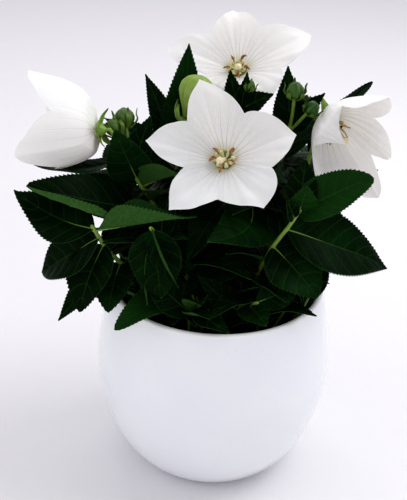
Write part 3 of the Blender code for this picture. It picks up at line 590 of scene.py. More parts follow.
@dataclass
class Bench:
    """Lays out the nodes of one material round a Principled shader."""

    name: str
    material: Material = field(init=False)
    shader: bpy.types.Node = field(init=False)
    own: Socket = field(init=False)

    def __post_init__(self) -> None:
        """Makes the material with its shader, its output and the piece's own coordinates in metres."""
        self.material = bpy.data.materials.new(self.name)
        self.material.use_nodes = True
        self.shader = self.material.node_tree.nodes["Principled BSDF"]
        self.own = self.add("TexCoord", {})["Object"]

    def feed(self, socket: Socket, value: object) -> None:
        """Links a socket to an input, or sets the input to a constant.

        Args:
            socket: the input.
            value: another node's output, a number, or a colour as a tuple.
        """
        if isinstance(value, Socket):
            self.material.node_tree.links.new(value, socket)
        elif isinstance(value, tuple) and socket.type == "RGBA":
            socket.default_value = (*value, 1.0)
        else:
            socket.default_value = value

    def add(self, kind: str, inputs: dict, **settings: object) -> bpy.types.NodeOutputs:
        """Adds a node and feeds it.

        Args:
            kind: Blender's name for the kind of shader node, without ShaderNode.
            inputs: what goes into it, by the number or name of each input.
            settings: the node's own settings, by name.

        Returns:
            The node's outputs.
        """
        made = self.material.node_tree.nodes.new(f"ShaderNode{kind}")
        for key, value in settings.items():
            setattr(made, key, value)
        for key, value in inputs.items():
            self.feed(made.inputs[key], value)
        return made.outputs

    def sum(self, operation: str, *values: object) -> Socket:
        """One step of arithmetic on sockets and numbers, named as Blender names it."""
        return self.add("Math", dict(enumerate(values)), operation=operation)[0]

    def plus(self, first: object, second: object) -> Socket:
        """Two values added."""
        return self.sum("ADD", first, second)

    def times(self, first: object, second: object) -> Socket:
        """Two values multiplied."""
        return self.sum("MULTIPLY", first, second)

    def rise(self, value: Socket, low: float, high: float) -> Socket:
        """A smooth step from 0 to 1, or from 1 to 0 where low is the greater.

        Args:
            value: what it follows.
            low: where it is 0.
            high: where it is 1.

        Returns:
            The step.
        """
        ends = (low, high, 0.0, 1.0) if low < high else (high, low, 1.0, 0.0)
        steps = dict(enumerate((value, *ends)))
        return self.add("MapRange", steps, interpolation_type="SMOOTHSTEP")[0]

    def spread(self, value: Socket, low: float, high: float) -> Socket:
        """A value from 0 to 1 stretched from low to high."""
        return self.sum("MULTIPLY_ADD", value, high - low, low)

    def sway(self, value: Socket, most: float) -> Socket:
        """A value from 0 to 1 turned into one that swings as far to either side of 0."""
        return self.spread(value, -most, most)

    def mix(self, share: object, first: object, second: object) -> Socket:
        """A colour between two, with a share of the second."""
        return self.add("Mix", {0: share, 6: first, 7: second}, data_type="RGBA")[2]

    def values(self, name: str) -> list[Socket]:
        """The three numbers of a named vector of the mesh."""
        source = self.add("Attribute", {}, attribute_name=name)["Vector"]
        return list(self.add("SeparateXYZ", {0: source}))

    def value(self, name: str) -> Socket:
        """A named number of the mesh."""
        return self.add("Attribute", {}, attribute_name=name)["Fac"]

    def vector(self, *numbers: object) -> Socket:
        """A vector from three numbers."""
        return self.add("CombineXYZ", dict(enumerate(numbers)))[0]

    def noise(self, scale: float, detail: float = 2.0, roughness: float = 0.5) -> Socket:
        """Cloudy noise, mostly between 0.3 and 0.7, at a scale in clouds to a metre."""
        cloud = {"Vector": self.own, "Scale": scale, "Detail": detail, "Roughness": roughness}
        return self.add("TexNoise", cloud)["Fac"]

    def cells(self, scale: float, feature: str = "DISTANCE_TO_EDGE") -> Socket:
        """A net of cells: the distance from their walls or, with F1, from their middles."""
        net = {"Vector": self.own, "Scale": scale}
        return self.add("TexVoronoi", net, feature=feature)["Distance"]

    def lines(self, value: Socket, pitch: object, low: float, high: float) -> Socket:
        """Thin lines where a value is whole: 1 on a line, 0 away from it.

        Args:
            value: the value that is whole along each line.
            pitch: the distance between lines, in mm.
            low: half the width of a line, in mm.
            high: where it has faded out, in mm.

        Returns:
            The lines.
        """
        off = self.sum("ABSOLUTE", self.sum("SUBTRACT", self.sum("FRACT", self.plus(value, 0.5)), 0.5))
        return self.rise(self.times(off, pitch), high, low)

    def bump(self, height: Socket, strength: float, depth: float, below: Socket | None = None) -> Socket:
        """Relief in the shading only.

        Args:
            height: 0 for low, 1 for high.
            strength: how much of it shows.
            depth: how high it is, in mm.
            below: relief that this one lies on, if any.

        Returns:
            The normal.
        """
        relief = {"Strength": strength, "Distance": depth * MM, "Height": height}
        if below is not None:
            relief["Normal"] = below
        return self.add("Bump", relief)[0]

    def done(self, colour: object, roughness: object, normal: Socket, **constants: object) -> Material:
        """Feeds the shader.

        Args:
            colour: the base colour.
            roughness: how dull it is.
            normal: its relief.
            constants: other sockets of the shader, by their names with _ for a space.

        Returns:
            The finished material.
        """
        self.feed(self.shader.inputs["Base Color"], colour)
        self.feed(self.shader.inputs["Roughness"], roughness)
        self.feed(self.shader.inputs["Normal"], normal)
        for key, value in constants.items():
            self.shader.inputs[key.replace("_", " ")].default_value = value
        return self.material


@dataclass(frozen=True)
class GlazeFinish:
    """Glossy white glaze, a little blue in its depth, with a dry biscuit foot."""

    body: Colour = (0.80, 0.815, 0.86)
    pool: Colour = (0.835, 0.845, 0.875)
    thin: Colour = (0.84, 0.835, 0.83)
    speck: Colour = (0.55, 0.54, 0.52)
    biscuit: Colour = (0.62, 0.55, 0.46)
    roughness: Pair = (0.08, 0.18)
    lip: Pair = (103.6, 105.6)
    foot: Pair = (1.5, 0.9)

    def build(self) -> Material:
        """Mixes the glaze; place holds bearing share, height in mm and 1 inside the pot.

        Returns:
            The material.
        """
        bench = Bench("white_glaze")
        _, height, _ = bench.values("place")
        cloud = bench.noise(18.0, 3.0)
        peel = bench.noise(260.0, 2.0)
        specks = bench.rise(bench.cells(240.0, "F1"), 0.10, 0.05)
        lip = bench.rise(height, *self.lip)
        foot = bench.rise(height, *self.foot)
        colour = bench.mix(bench.rise(cloud, 0.35, 0.65), self.body, self.pool)
        colour = bench.mix(bench.times(lip, 0.7), colour, self.thin)
        colour = bench.mix(bench.times(specks, 0.25), colour, self.speck)
        colour = bench.mix(foot, colour, self.biscuit)
        rough = bench.plus(bench.spread(cloud, *self.roughness), bench.times(foot, 0.6))
        normal = bench.bump(cloud, 0.25, 0.5)
        normal = bench.bump(peel, 0.03, 0.06, normal)
        return bench.done(colour, rough, normal, Coat_Weight=0.5, Coat_Roughness=0.03, IOR=1.52)


@dataclass(frozen=True)
class SoilFinish:
    """Damp peat: nearly black, with paler fibres and crumbs."""

    dark: Colour = (0.0022, 0.0017, 0.0014)
    warm: Colour = (0.018, 0.011, 0.006)
    fibre: Colour = (0.045, 0.030, 0.018)

    def build(self) -> Material:
        """Mixes the soil's finish; mark's first number is each crumb's own tone.

        Returns:
            The material.
        """
        bench = Bench("damp_peat")
        tone, _, _ = bench.values("mark")
        patch = bench.noise(90.0, 5.0, 0.65)
        grain = bench.noise(900.0, 4.0, 0.7)
        share = bench.times(bench.rise(patch, 0.42, 0.68), bench.spread(tone, 0.35, 1.0))
        colour = bench.mix(share, self.dark, self.warm)
        colour = bench.mix(bench.rise(grain, 0.60, 0.72), colour, self.fibre)
        normal = bench.bump(bench.plus(patch, grain), 0.8, 0.7)
        return bench.done(colour, bench.spread(grain, 0.75, 1.0), normal, Specular_IOR_Level=0.15)


@dataclass(frozen=True)
class LeafFinish:
    """Dark glossy green above and paler below, with a light midrib, side veins and a fine net between."""

    deep: Colour = (0.0012, 0.0085, 0.0014)
    fresh: Colour = (0.0045, 0.028, 0.0040)
    young: Colour = (0.012, 0.055, 0.008)
    below: Colour = (0.046, 0.112, 0.027)
    bloom: Colour = (0.024, 0.075, 0.016)
    rib: Colour = (0.035, 0.100, 0.022)

    def build(self) -> Material:
        """Mixes the blades' finish.

        place holds across (-1 to 1), along (0 to 1) and the side veins' count; mark holds the blade's tone,
        the distance from the midrib in mm and the side veins' pitch in mm; side is 1 above and 0 below.

        Returns:
            The material.
        """
        bench = Bench("leaf_green")
        across, along, count = bench.values("place")
        tone, reach, pitch = bench.values("mark")
        above = bench.value("side")
        patch = bench.noise(55.0, 3.0)
        fine = bench.noise(700.0, 2.0)
        midrib = bench.rise(bench.sum("ABSOLUTE", reach), 0.50, 0.16)
        wander = bench.sway(bench.noise(160.0, 1.0), 0.08)
        veins = bench.lines(bench.plus(count, wander), pitch, 0.10, 0.42)
        net = bench.rise(bench.cells(620.0), 0.10, 0.02)
        margin = bench.rise(bench.sum("ABSOLUTE", across), 0.93, 1.0)
        freshness = bench.rise(bench.plus(patch, bench.sway(tone, 0.26)), 0.36, 0.74)
        top = bench.mix(freshness, self.deep, self.fresh)
        top = bench.mix(bench.times(bench.rise(tone, 0.80, 1.0), 0.5), top, self.young)
        for line, strength in ((veins, 0.16), (net, 0.05), (margin, 0.16)):
            top = bench.mix(bench.times(line, strength), top, self.rib)
        under = bench.mix(bench.times(veins, 0.35), self.below, self.rib)
        under = bench.mix(bench.times(bench.rise(fine, 0.4, 0.7), 0.6), under, self.bloom)
        colour = bench.mix(above, under, top)
        colour = bench.mix(bench.times(midrib, bench.spread(along, 0.60, 0.08)), colour, self.rib)
        rough = bench.plus(bench.spread(above, 0.60, 0.30), bench.sway(fine, 0.06))
        normal = bench.bump(bench.sum("SUBTRACT", fine, bench.times(net, 0.5)), 0.30, 0.12)
        normal = bench.bump(bench.sum("MAXIMUM", veins, midrib), 0.35, -0.18, normal)
        return bench.done(colour, rough, normal, Specular_IOR_Level=0.02)


@dataclass(frozen=True)
class StalkFinish:
    """Pale yellow-green stalks, cups and small buds, with fine streaks along them."""

    pale: Colour = (0.25, 0.39, 0.075)
    patchy: Colour = (0.12, 0.20, 0.03)
    deep: Colour = (0.014, 0.060, 0.006)

    def build(self) -> Material:
        """Mixes the stalks' finish; mark's first number is 0 on a pale piece and 1 on a deep green one.

        Returns:
            The material.
        """
        bench = Bench("stalk_green")
        turn, run, _ = bench.values("place")
        depth, _, _ = bench.values("mark")
        grain = bench.vector(bench.times(turn, 14.0), bench.times(run, 0.15), 0.0)
        streak = bench.add("TexNoise", {"Vector": grain, "Scale": 1.0})["Fac"]
        patch = bench.noise(130.0, 3.0)
        streaks = bench.rise(streak, 0.35, 0.7)
        share = bench.sum("MULTIPLY_ADD", streaks, 0.30, bench.times(depth, 0.75))
        colour = bench.mix(share, self.pale, self.deep)
        colour = bench.mix(bench.times(bench.rise(patch, 0.5, 0.75), 0.35), colour, self.patchy)
        normal = bench.bump(streak, 0.25, 0.15)
        return bench.done(colour, bench.spread(patch, 0.34, 0.52), normal, Specular_IOR_Level=0.30)


@dataclass(frozen=True)
class PetalFinish:
    """Soft white petals with fine grey veins that fork towards the edge, a green throat, and painted shade
    that greys them towards the throat.
    """

    white: Colour = (0.93, 0.912, 0.895)
    cloudy: Colour = (0.87, 0.852, 0.832)
    vein: Colour = (0.47, 0.46, 0.46)
    throat: Colour = (0.58, 0.63, 0.30)
    eye: Colour = (0.10, 0.10, 0.035)
    # painted shade: the grey that the petals turn towards the throat, where the cup lies in shade
    shade: Colour = (0.52, 0.51, 0.50)
    warm: Colour = (0.90, 0.82, 0.745)

    def build(self) -> Material:
        """Mixes the petals' finish.

        place holds across the lobe (-1 to 1), the share from throat to edge and the lobe's number; mark
        holds how green the throat is, the radius in mm and how warm the lobe is; side is 1 on the inside.

        Returns:
            The material.
        """
        bench = Bench("petal_white")
        across, out, _ = bench.values("place")
        green, radius, warmth = bench.values("mark")
        inside = bench.value("side")
        bent = bench.plus(across, bench.sway(bench.noise(110.0, 2.0), 0.05))
        main = bench.lines(bench.times(bent, 3.5), bench.times(radius, 0.17), 0.03, 0.20)
        fork = bench.lines(bench.sum("MULTIPLY_ADD", bent, 7.0, 0.5), bench.times(radius, 0.085), 0.02, 0.16)
        fork = bench.times(fork, bench.rise(out, 0.30, 0.55))
        net = bench.times(bench.rise(bench.cells(330.0), 0.07, 0.015), bench.rise(out, 0.2, 0.5))
        cloud = bench.noise(60.0, 3.0)
        colour = bench.mix(bench.rise(cloud, 0.3, 0.75), self.white, self.cloudy)
        finer = bench.sum("MAXIMUM", bench.times(fork, 0.6), bench.times(net, 0.35))
        veins = bench.sum("MAXIMUM", main, finer)
        # painted shade: grey laid over the petals towards the throat, weaker on warmer lobes and where the
        # throat is less green
        near = bench.rise(bench.sum("MULTIPLY_ADD", bent, 1.5, radius), 32.0, 7.0)
        throat_shade_strength = bench.times(bench.spread(warmth, 0.60, 0.20), bench.rise(green, 0.0, 0.45))
        colour = bench.mix(bench.times(near, throat_shade_strength), colour, self.shade)
        colour = bench.mix(bench.times(warmth, 0.40), colour, self.warm)
        share = bench.times(veins, bench.spread(inside, 0.16, 0.40))
        share = bench.times(share, bench.spread(bench.rise(radius, 25.0, 8.0), 0.18, 1.8))
        colour = bench.mix(share, colour, self.vein)
        glow = bench.rise(bench.plus(out, bench.times(main, -0.06)), 0.24, 0.06)
        colour = bench.mix(bench.times(glow, green), colour, self.throat)
        core = bench.times(bench.rise(radius, 5.4, 4.0), bench.rise(green, 0.3, 0.5))
        colour = bench.mix(bench.times(core, 0.8), colour, self.eye)
        normal = bench.bump(bench.noise(520.0, 2.0), 0.10, 0.15)
        normal = bench.bump(veins, 0.30, -0.14, normal)
        return bench.done(colour, bench.spread(cloud, 0.50, 0.66), normal,
                          Subsurface_Weight=0.5, Subsurface_Radius=(1.0, 0.9, 0.8), Subsurface_Scale=0.002,
                          Specular_IOR_Level=0.35)


@dataclass(frozen=True)
class CreamFinish:
    """Velvety cream of the style, its tip and the scales round its foot."""

    cream: Colour = (0.80, 0.73, 0.50)
    nap: Colour = (0.70, 0.60, 0.34)
    green: Colour = (0.52, 0.58, 0.24)

    def build(self) -> Material:
        """Mixes the cream; mark's first number is 1 where it turns green.

        Returns:
            The material.
        """
        bench = Bench("centre_cream")
        tint, _, _ = bench.values("mark")
        grain = bench.noise(1500.0, 3.0)
        colour = bench.mix(bench.rise(grain, 0.4, 0.7), self.cream, self.nap)
        colour = bench.mix(tint, colour, self.green)
        return bench.done(colour, bench.spread(grain, 0.6, 0.8), bench.bump(grain, 0.5, 0.15),
                          Subsurface_Weight=0.2, Subsurface_Radius=(1.0, 0.8, 0.5), Subsurface_Scale=0.001)


@dataclass(frozen=True)
class AntherFinish:
    """Dry orange-brown of the withered anthers, straw yellow on the bells."""

    rust: Colour = (0.44, 0.21, 0.065)
    dark: Colour = (0.16, 0.060, 0.016)
    straw: Colour = (0.60, 0.38, 0.12)

    def build(self) -> Material:
        """Mixes the anthers' finish; mark's first number is 1 on a bell's.

        Returns:
            The material.
        """
        bench = Bench("anther_brown")
        grain = bench.noise(1100.0, 4.0, 0.65)
        fresh, _, _ = bench.values("mark")
        colour = bench.mix(bench.rise(grain, 0.38, 0.66), self.dark, self.rust)
        colour = bench.mix(bench.times(fresh, 0.9), colour, self.straw)
        return bench.done(colour, bench.spread(grain, 0.6, 0.9), bench.bump(grain, 0.7, 0.25))


@dataclass(frozen=True)
class BudFinish:
    """Yellow-green skin of the closed balloon bud, with paler seams, fine veins and painted shade darkening
    its foot.
    """

    lime: Colour = (0.17, 0.27, 0.032)
    pale: Colour = (0.25, 0.36, 0.055)
    seam: Colour = (0.38, 0.46, 0.12)
    # darker green, used as painted shade at the bud's foot and as the colour of its fine veins
    shade: Colour = (0.15, 0.25, 0.040)

    def build(self) -> Material:
        """Mixes the bud's finish; place holds the bearing in lobes and the share of its height.

        Returns:
            The material.
        """
        bench = Bench("bud_lime")
        lobe, share, _ = bench.values("place")
        bent = bench.plus(lobe, bench.sway(bench.noise(200.0, 1.0), 0.06))
        veins = bench.lines(bench.times(bent, 6.0), 1.2, 0.03, 0.16)
        seams = bench.lines(bench.plus(lobe, 0.5), 10.0, 0.10, 0.7)
        cloud = bench.noise(110.0, 3.0)
        colour = bench.mix(bench.rise(cloud, 0.35, 0.7), self.lime, self.pale)
        # painted shade: darker green towards the bud's narrow foot
        colour = bench.mix(bench.rise(share, 0.35, 0.0), colour, self.shade)
        colour = bench.mix(bench.times(veins, 0.35), colour, self.shade)
        colour = bench.mix(bench.times(seams, 0.6), colour, self.seam)
        normal = bench.bump(veins, 0.3, 0.12)
        normal = bench.bump(bench.noise(900.0, 2.0), 0.15, 0.1, normal)
        return bench.done(colour, bench.spread(cloud, 0.38, 0.52), normal)


@dataclass(frozen=True)
class FloorFinish:
    """A plain pale matt floor with hardly any tooth."""

    pale: Colour = (0.805, 0.79, 0.81)
    grey: Colour = (0.78, 0.77, 0.80)
    roughness: float = 0.85

    def build(self) -> Material:
        """Mixes the floor's finish.

        Returns:
            The material.
        """
        bench = Bench("pale_floor")
        grain = bench.noise(60.0, 3.0)
        colour = bench.mix(grain, self.pale, self.grey)
        return bench.done(colour, self.roughness, bench.bump(grain, 0.05, 0.3))


@dataclass(frozen=True)
class Finishes:
    """Every finish of the part, built once."""

    glaze: Material
    soil: Material
    leaf: Material
    stalk: Material
    petal: Material
    cream: Material
    anther: Material
    bud: Material
    floor: Material

    @classmethod
    def mixed(cls) -> "Finishes":
        """All the finishes, each from its own class.

        Returns:
            The finishes, ready to use.
        """
        kinds = (GlazeFinish, SoilFinish, LeafFinish, StalkFinish, PetalFinish, CreamFinish, AntherFinish,
                 BudFinish, FloorFinish)
        return cls(*(kind().build() for kind in kinds))


# Pot and soil


@dataclass(frozen=True)
class GlazedPot:
    """The round pot: a full belly that narrows to the foot and to the rolled rim."""

    height: float = 106.0
    belly_radius: float = 62.0
    belly_height: float = 61.0
    rim_radius: float = 55.5
    foot_radius: float = 32.0
    wall: float = 3.2
    floor: float = 5.0
    lower_power: float = 1.81
    upper_power: float = 1.30
    kiln_shrink: float = 0.9985
    sides: int = 144

    def outer_radius(self, height: Array) -> Array:
        """The outer radius of the wall.

        Args:
            height: heights above the table, in mm.

        Returns:
            The radius at each.
        """
        low = np.clip(1.0 - height / self.belly_height, 0.0, 1.0)
        high = np.clip((height - self.belly_height) / (self.height - self.belly_height), 0.0, 1.0)
        swell = (1.0 - low**self.lower_power) ** (1.0 / self.lower_power)
        lower = self.foot_radius + (self.belly_radius - self.foot_radius) * swell
        upper = self.belly_radius - (self.belly_radius - self.rim_radius) * high**self.upper_power
        return np.where(height <= self.belly_height, lower, upper)

    def inner_radius(self, height: Array) -> Array:
        """The radius of the inside at each height."""
        return self.outer_radius(np.maximum(height, self.floor)) - self.wall

    def profile(self) -> tuple[Array, Array, Array]:
        """The section of the pot, from the middle of its inner floor over the rim to the foot.

        Returns:
            The radius, the height and the mark of the inside at each point.
        """
        lip = self.wall / 2
        rise = np.array([self.floor, 6.5, 9.0, 13.0, 20.0, 30.0, 42.0, 54.0, 64.0, 74.0, 84.0, 92.0, 99.0])
        arc = np.linspace(math.pi, 0.0, 11)
        bend = [10.0, 7.0, 4.5, 2.8, 1.6]
        drop = np.concatenate([np.linspace(102.0, 62.0, 16), np.linspace(59.0, 14.0, 20), bend])
        ring = self.foot_radius
        radius = np.concatenate([
            [0.02, 12.0, 24.0], self.inner_radius(rise) - np.where(rise == self.floor, 1.5, 0.0),
            self.rim_radius - lip + lip * np.cos(arc), self.outer_radius(drop),
            [ring + 1.2, ring + 0.6, ring - 1.6, ring - 2.4, ring - 3.2, 14.0, 0.02],
        ])
        height = np.concatenate([
            [self.floor] * 3, rise, self.height - lip + lip * np.sin(arc), drop,
            [0.35, 0.0, 0.0, 0.4, 0.9, 1.0, 1.0],
        ])
        inner_points = 3 + len(rise) + len(arc) // 2
        inside = (np.arange(len(radius)) < inner_points).astype(float)
        return radius, height, inside

    def build(self, finishes: Finishes) -> None:
        """Makes the pot and lets it stand for its CAD node.

        Args:
            finishes: the finishes of the part.
        """
        radius, height, inside = self.profile()
        bearing = circle(self.sides)
        turn = np.radians(bearing)
        wobble = 1.0 + 0.0012 * np.cos(2.0 * turn + 0.6) + 0.0008 * np.cos(3.0 * turn + 2.0)
        fired = self.kiln_shrink * wobble[None, :]
        points = polar(radius[:, None] * fired, bearing[None, :], height[:, None])
        shape = Shape()
        place = triples(bearing[None, :] / 360.0, height[:, None], inside[:, None])
        shape.add_turned(points[::-1], place[::-1])
        settle(shape.to_object("pot_glazed", finishes.glaze, 75.0), Slot.GLAZE, "pot")


@dataclass(frozen=True)
class PottingSoil:
    """The peat that fills the pot: a lumpy crown with crumbs, bits of bark and fibres on it."""

    pot: GlazedPot
    top: float = 94.0
    bottom: float = 5.5
    gap: float = 0.35
    sides: int = 120
    rings: int = 44
    crumbs: int = 260
    crumb_sizes: Pair = (0.5, 1.9)
    crumb_roughness: float = 0.168
    fibres: int = 70
    fibre_reach: float = 50.0
    seed: int = 11
    heap: Shape = field(default_factory=Shape)

    def crown(self, radius: Array, bearing: Array) -> Array:
        """The soil's uneven top.

        Args:
            radius: how far out each point lies, in mm.
            bearing: the way that it lies, in degrees.

        Returns:
            The height at each, in mm.
        """
        turn = np.radians(bearing)
        x, y = radius * np.cos(turn), radius * np.sin(turn)
        lumps = 0.7 * np.sin(0.21 * x + 1.0) * np.cos(0.19 * y) + 0.45 * np.sin(0.53 * x + 0.47 * y)
        lumps += 0.28 * np.sin(1.13 * x - 0.9 * y + 2.0) + 0.2 * np.cos(1.9 * x + 2.3 * y)
        return self.top - 0.4 + 0.7 * lumps - 1.4 * ease(radius, 36.0, 52.0)

    def add_crown(self) -> None:
        """Adds the crown and the body below it."""
        edge = float(self.pot.inner_radius(np.array([self.top - 3.0]))[0]) - self.gap
        radius = np.linspace(0.02, edge, self.rings)
        bearing = circle(self.sides)
        top = polar(radius[:, None], bearing[None, :], self.crown(radius[:, None], bearing[None, :]))
        low = np.array([84.0, 61.0, 36.0, 20.0, 8.0, self.bottom])
        wide = self.pot.inner_radius(low) - self.gap - 0.1
        wall = polar(wide[:, None], bearing[None, :], low[:, None])
        end = polar(np.array([[0.02]]), bearing[None, :], np.array([[self.bottom]]))
        points = np.concatenate([top, wall, end])
        self.heap.add_turned(points, mark=(0.4, 0.0, 0.0))

    def add_crumbs(self, draw: Draw) -> None:
        """Adds loose crumbs and bits of bark that lie half sunk in the crown.

        Args:
            draw: the source of their places and forms.
        """
        rings = np.radians(np.linspace(-90.0, 90.0, 7))[:, None]
        ball = polar(np.maximum(np.cos(rings), 0.02), circle(9)[None, :], np.sin(rings))
        for _ in range(self.crumbs):
            radius, bearing = 49.0 * math.sqrt(draw.random()), 360.0 * draw.random()
            size = draw.uniform(*self.crumb_sizes)
            form = ball * size * draw.uniform(0.6, 1.35, 3)
            form = form * (1.0 + self.crumb_roughness * draw.standard_normal((*ball.shape[:2], 1)))
            angle = draw.uniform(0, math.tau)
            turned = form @ np.array(Matrix.Rotation(angle, 3, Vector(draw.standard_normal(3))))
            ground = self.crown(np.array([radius]), np.array([bearing]))[0]
            spot = polar(np.array(radius), np.array(bearing), np.array(ground + 0.2 * size))
            self.heap.add_turned(turned + spot, mark=(draw.random(), 0.0, 0.0))

    def add_fibres(self, draw: Draw) -> None:
        """Adds thin fibres that lie on the crown.

        Args:
            draw: the source of their places and bends.
        """
        for _ in range(self.fibres):
            radius, bearing = 47.0 * math.sqrt(draw.random()), 360.0 * draw.random()
            heading, bend = draw.uniform(0, math.tau), draw.uniform(-0.12, 0.12)
            stride = draw.uniform(0.7, 1.9)
            way = heading + bend * stride * np.arange(7)
            start = radius * facing(bearing, 0.0)
            x = start[0] + np.cumsum(np.cos(way)) * stride
            y = start[1] + np.cumsum(np.sin(way)) * stride
            far = np.hypot(x, y)
            if far.max() > self.fibre_reach:
                continue
            z = self.crown(far, np.degrees(np.arctan2(y, x))) + 0.25
            thin = np.full(len(way), draw.uniform(0.12, 0.26))
            self.heap.add_tube(np.stack([x, y, z], axis=-1), thin, 5, (1.0, 0.0, 0.0))

    def build(self, finishes: Finishes) -> None:
        """Makes the soil and lets it stand for its CAD node.

        Args:
            finishes: the finishes of the part.
        """
        draw = np.random.default_rng(self.seed)
        self.add_crown()
        self.add_crumbs(draw)
        self.add_fibres(draw)
        settle(self.heap.to_object("soil_peat", finishes.soil), Slot.SOIL, "soil")


# Leaves and stems


@dataclass(frozen=True)
class LeafMaker:
    """Makes blades: folded along the midrib, arched, quilted between side veins and finely toothed."""

    petiole: float = 1.6
    widest_power: float = 0.72
    droop: float = 0.25
    thickness: float = 0.30
    tooth_share: float = 0.026
    tooth_pitch: float = 1.9
    toothed: Pair = (0.12, 0.985)
    tooth_counts: tuple[int, int] = (7, 30)
    vein_pitch: float = 6.5
    vein_counts: tuple[int, int] = (4, 8)
    turned_from: float = 0.66
    columns: tuple[float, ...] = (0.0, 0.05, 0.14, 0.30, 0.48, 0.66, 0.84, 1.0)
    tooth_steps: tuple[tuple[float, float], ...] = ((0.0, 0.0), (0.38, 0.45), (0.72, 1.0), (0.86, 0.25))

    def half_width(self, leaf: Leaf, share: Array) -> Array:
        """Half the width of a blade or of the stalk that it starts as.

        Args:
            leaf: the blade's sizes.
            share: shares of its length.

        Returns:
            The half width at each, in mm.
        """
        outline = np.sin(math.pi * np.clip(share, 0.0, 1.0) ** self.widest_power)
        blade = 0.5 * leaf.width * outline**leaf.blunt
        return np.maximum(np.maximum(blade, 0.5 * self.petiole * (1.0 - share)), 0.10)

    def axes(self, leaf: Leaf, base: Array) -> tuple[float, Array, Array, Array]:
        """The frame that a blade is shaped in.

        Args:
            leaf: the blade's place.
            base: where it grows from, in mm.

        Returns:
            Its length, and the ways along it, up from its face and to its side.
        """
        chord = np.array(leaf.tip, float) - base
        length = float(np.linalg.norm(chord))
        along = chord / length
        up = np.array(leaf.face, float)
        up = unit(up - along * up.dot(along))
        return length, along, up, np.cross(up, along)

    def rows(self, length: float) -> tuple[Array, Array, float]:
        """Where the rows of points lie along a blade.

        Args:
            length: the blade's length, in mm.

        Returns:
            The share of the length at each row, how far out the teeth are there, and the teeth's pitch.
        """
        teeth = int(np.clip(round(length / self.tooth_pitch), *self.tooth_counts))
        first, last = self.toothed
        pitch = (last - first) / teeth
        share, tooth = [0.0, 0.02, 0.05, 0.08, 0.10], [0.4] * 5
        for index in range(teeth):
            for phase, out in self.tooth_steps:
                share.append(first + pitch * (index + phase))
                tooth.append(out)
        return np.array([*share, last, 1.0]), np.array([*tooth, 0.1, 0.4]), pitch

    def surface(self, leaf: Leaf, base: Array, draw: Draw) -> dict[str, Array]:
        """The middle surface of one blade.

        Args:
            leaf: the blade's sizes and place.
            base: where it grows from, in mm.
            draw: the source of its small irregularities.

        Returns:
            The points, the way up, and the values across, along, count, reach and pitch at each point.
        """
        length, along, up, side = self.axes(leaf, base)
        share, tooth, pitch = self.rows(length)
        across = np.array([*(-c for c in reversed(self.columns[1:])), *self.columns])
        s, t, h = share[:, None], across[None, :], tooth[:, None]
        edge = np.abs(t) ** 6
        half = self.half_width(leaf, s)
        depth = self.tooth_share * leaf.width * np.sin(math.pi * s) ** 0.7 + 0.05
        depth = np.minimum(depth, 0.42 * pitch * length)
        spread = half * t + np.sign(t) * edge * depth * (h - 0.4)
        hook = 0.30 * pitch * (h - 0.3) * edge * ease(s, 0.08, 0.2) * (1.0 - ease(s, 0.96, 1.0))
        ahead = np.clip(s + hook, 0.0, 1.0)
        side_veins = int(np.clip(round(length / self.vein_pitch), *self.vein_counts))
        count = side_veins * (ahead * 1.05 - 0.20 * np.abs(t) ** 1.25 - 0.03)
        fold = math.tan(math.radians(leaf.fold))
        soft = np.sqrt(spread**2 + 0.36) - 0.6
        lift = leaf.arch * length * (4.0 * ahead * (1.0 - ahead) - self.droop * ahead) + fold * soft
        quilt = np.abs(np.sin(math.pi * count)) ** 0.7 * (1.0 - np.abs(t) ** 5) * ease(np.abs(t), 0.02, 0.3)
        lift = lift + 0.019 * leaf.width * (quilt - 0.5) * ease(s, 0.10, 0.25) * (1.0 - ease(s, 0.90, 1.0))
        waves, phase = draw.uniform(1.2, 2.4), draw.uniform(0.0, math.tau, 2)
        side_phase = np.where(t < 0.0, phase[0], phase[1])
        lift = lift + 0.026 * leaf.width * np.abs(t) ** 2.5 * np.sin(math.tau * waves * ahead + side_phase)
        lift = lift - draw.uniform(-0.01, 0.05) * length * ease(s, 0.55, 1.0) ** 2 * ease(s, 0.5, 1.0)
        twist = math.radians(draw.uniform(-9.0, 9.0)) * ahead
        sway = draw.uniform(-0.02, 0.02) * length * np.sin(math.pi * ahead) ** 2
        sway = sway + leaf.bow * length * 4.0 * ahead * (1.0 - ahead)
        over = half * np.clip(np.sign(leaf.curl) * t - self.turned_from, 0.0, 1.0)
        over = over * abs(leaf.curl) * ease(s, 0.25, 0.6)
        lift = lift + 0.55 * over
        reach = spread - np.sign(leaf.curl) * 1.7 * over
        level = reach * np.cos(twist) - lift * np.sin(twist) + sway
        rise = reach * np.sin(twist) + lift * np.cos(twist)
        points = base + along * (length * ahead)[..., None] + side * level[..., None] + up * rise[..., None]
        values = np.broadcast_arrays(t, ahead, count, spread, np.array(0.72 * length / side_veins))
        keys = ("across", "along", "count", "reach", "pitch")
        return {"points": points, "up": up, **dict(zip(keys, values))}

    def add(self, shape: Shape, leaf: Leaf, base: Array, draw: Draw) -> Array:
        """Adds one blade to a shape.

        Args:
            shape: the mesh that it joins.
            leaf: the blade's sizes and place.
            base: where it grows from, in mm.
            draw: the source of its small irregularities.

        Returns:
            The midrib's points, from the base to the tip.
        """
        made = self.surface(leaf, base, draw)
        points = made["points"]
        normals = grid_normals(points)
        if float((normals @ made["up"]).sum()) < 0.0:
            normals = -normals
        chance = draw.random()
        tone = leaf.tone if leaf.tone >= 0.0 else 0.7 * chance
        rib = 0.50 * np.exp(-((made["reach"] / 0.5) ** 2)) * (1.0 - 0.7 * made["along"])
        near = np.abs(made["count"] - np.round(made["count"])) * made["pitch"]
        ridge = 0.12 * np.exp(-((near / 0.35) ** 2)) * (1.0 - np.abs(made["across"]) ** 3)
        upper = points + normals * (self.thickness / 2)
        lower = points - normals * (self.thickness / 2 + rib + ridge)[..., None]
        place = triples(made["across"], made["along"], made["count"])
        mark = triples(np.array(tone), made["reach"], made["pitch"])
        shape.add_shell(upper, lower, place, mark)
        return points[:, points.shape[1] // 2]


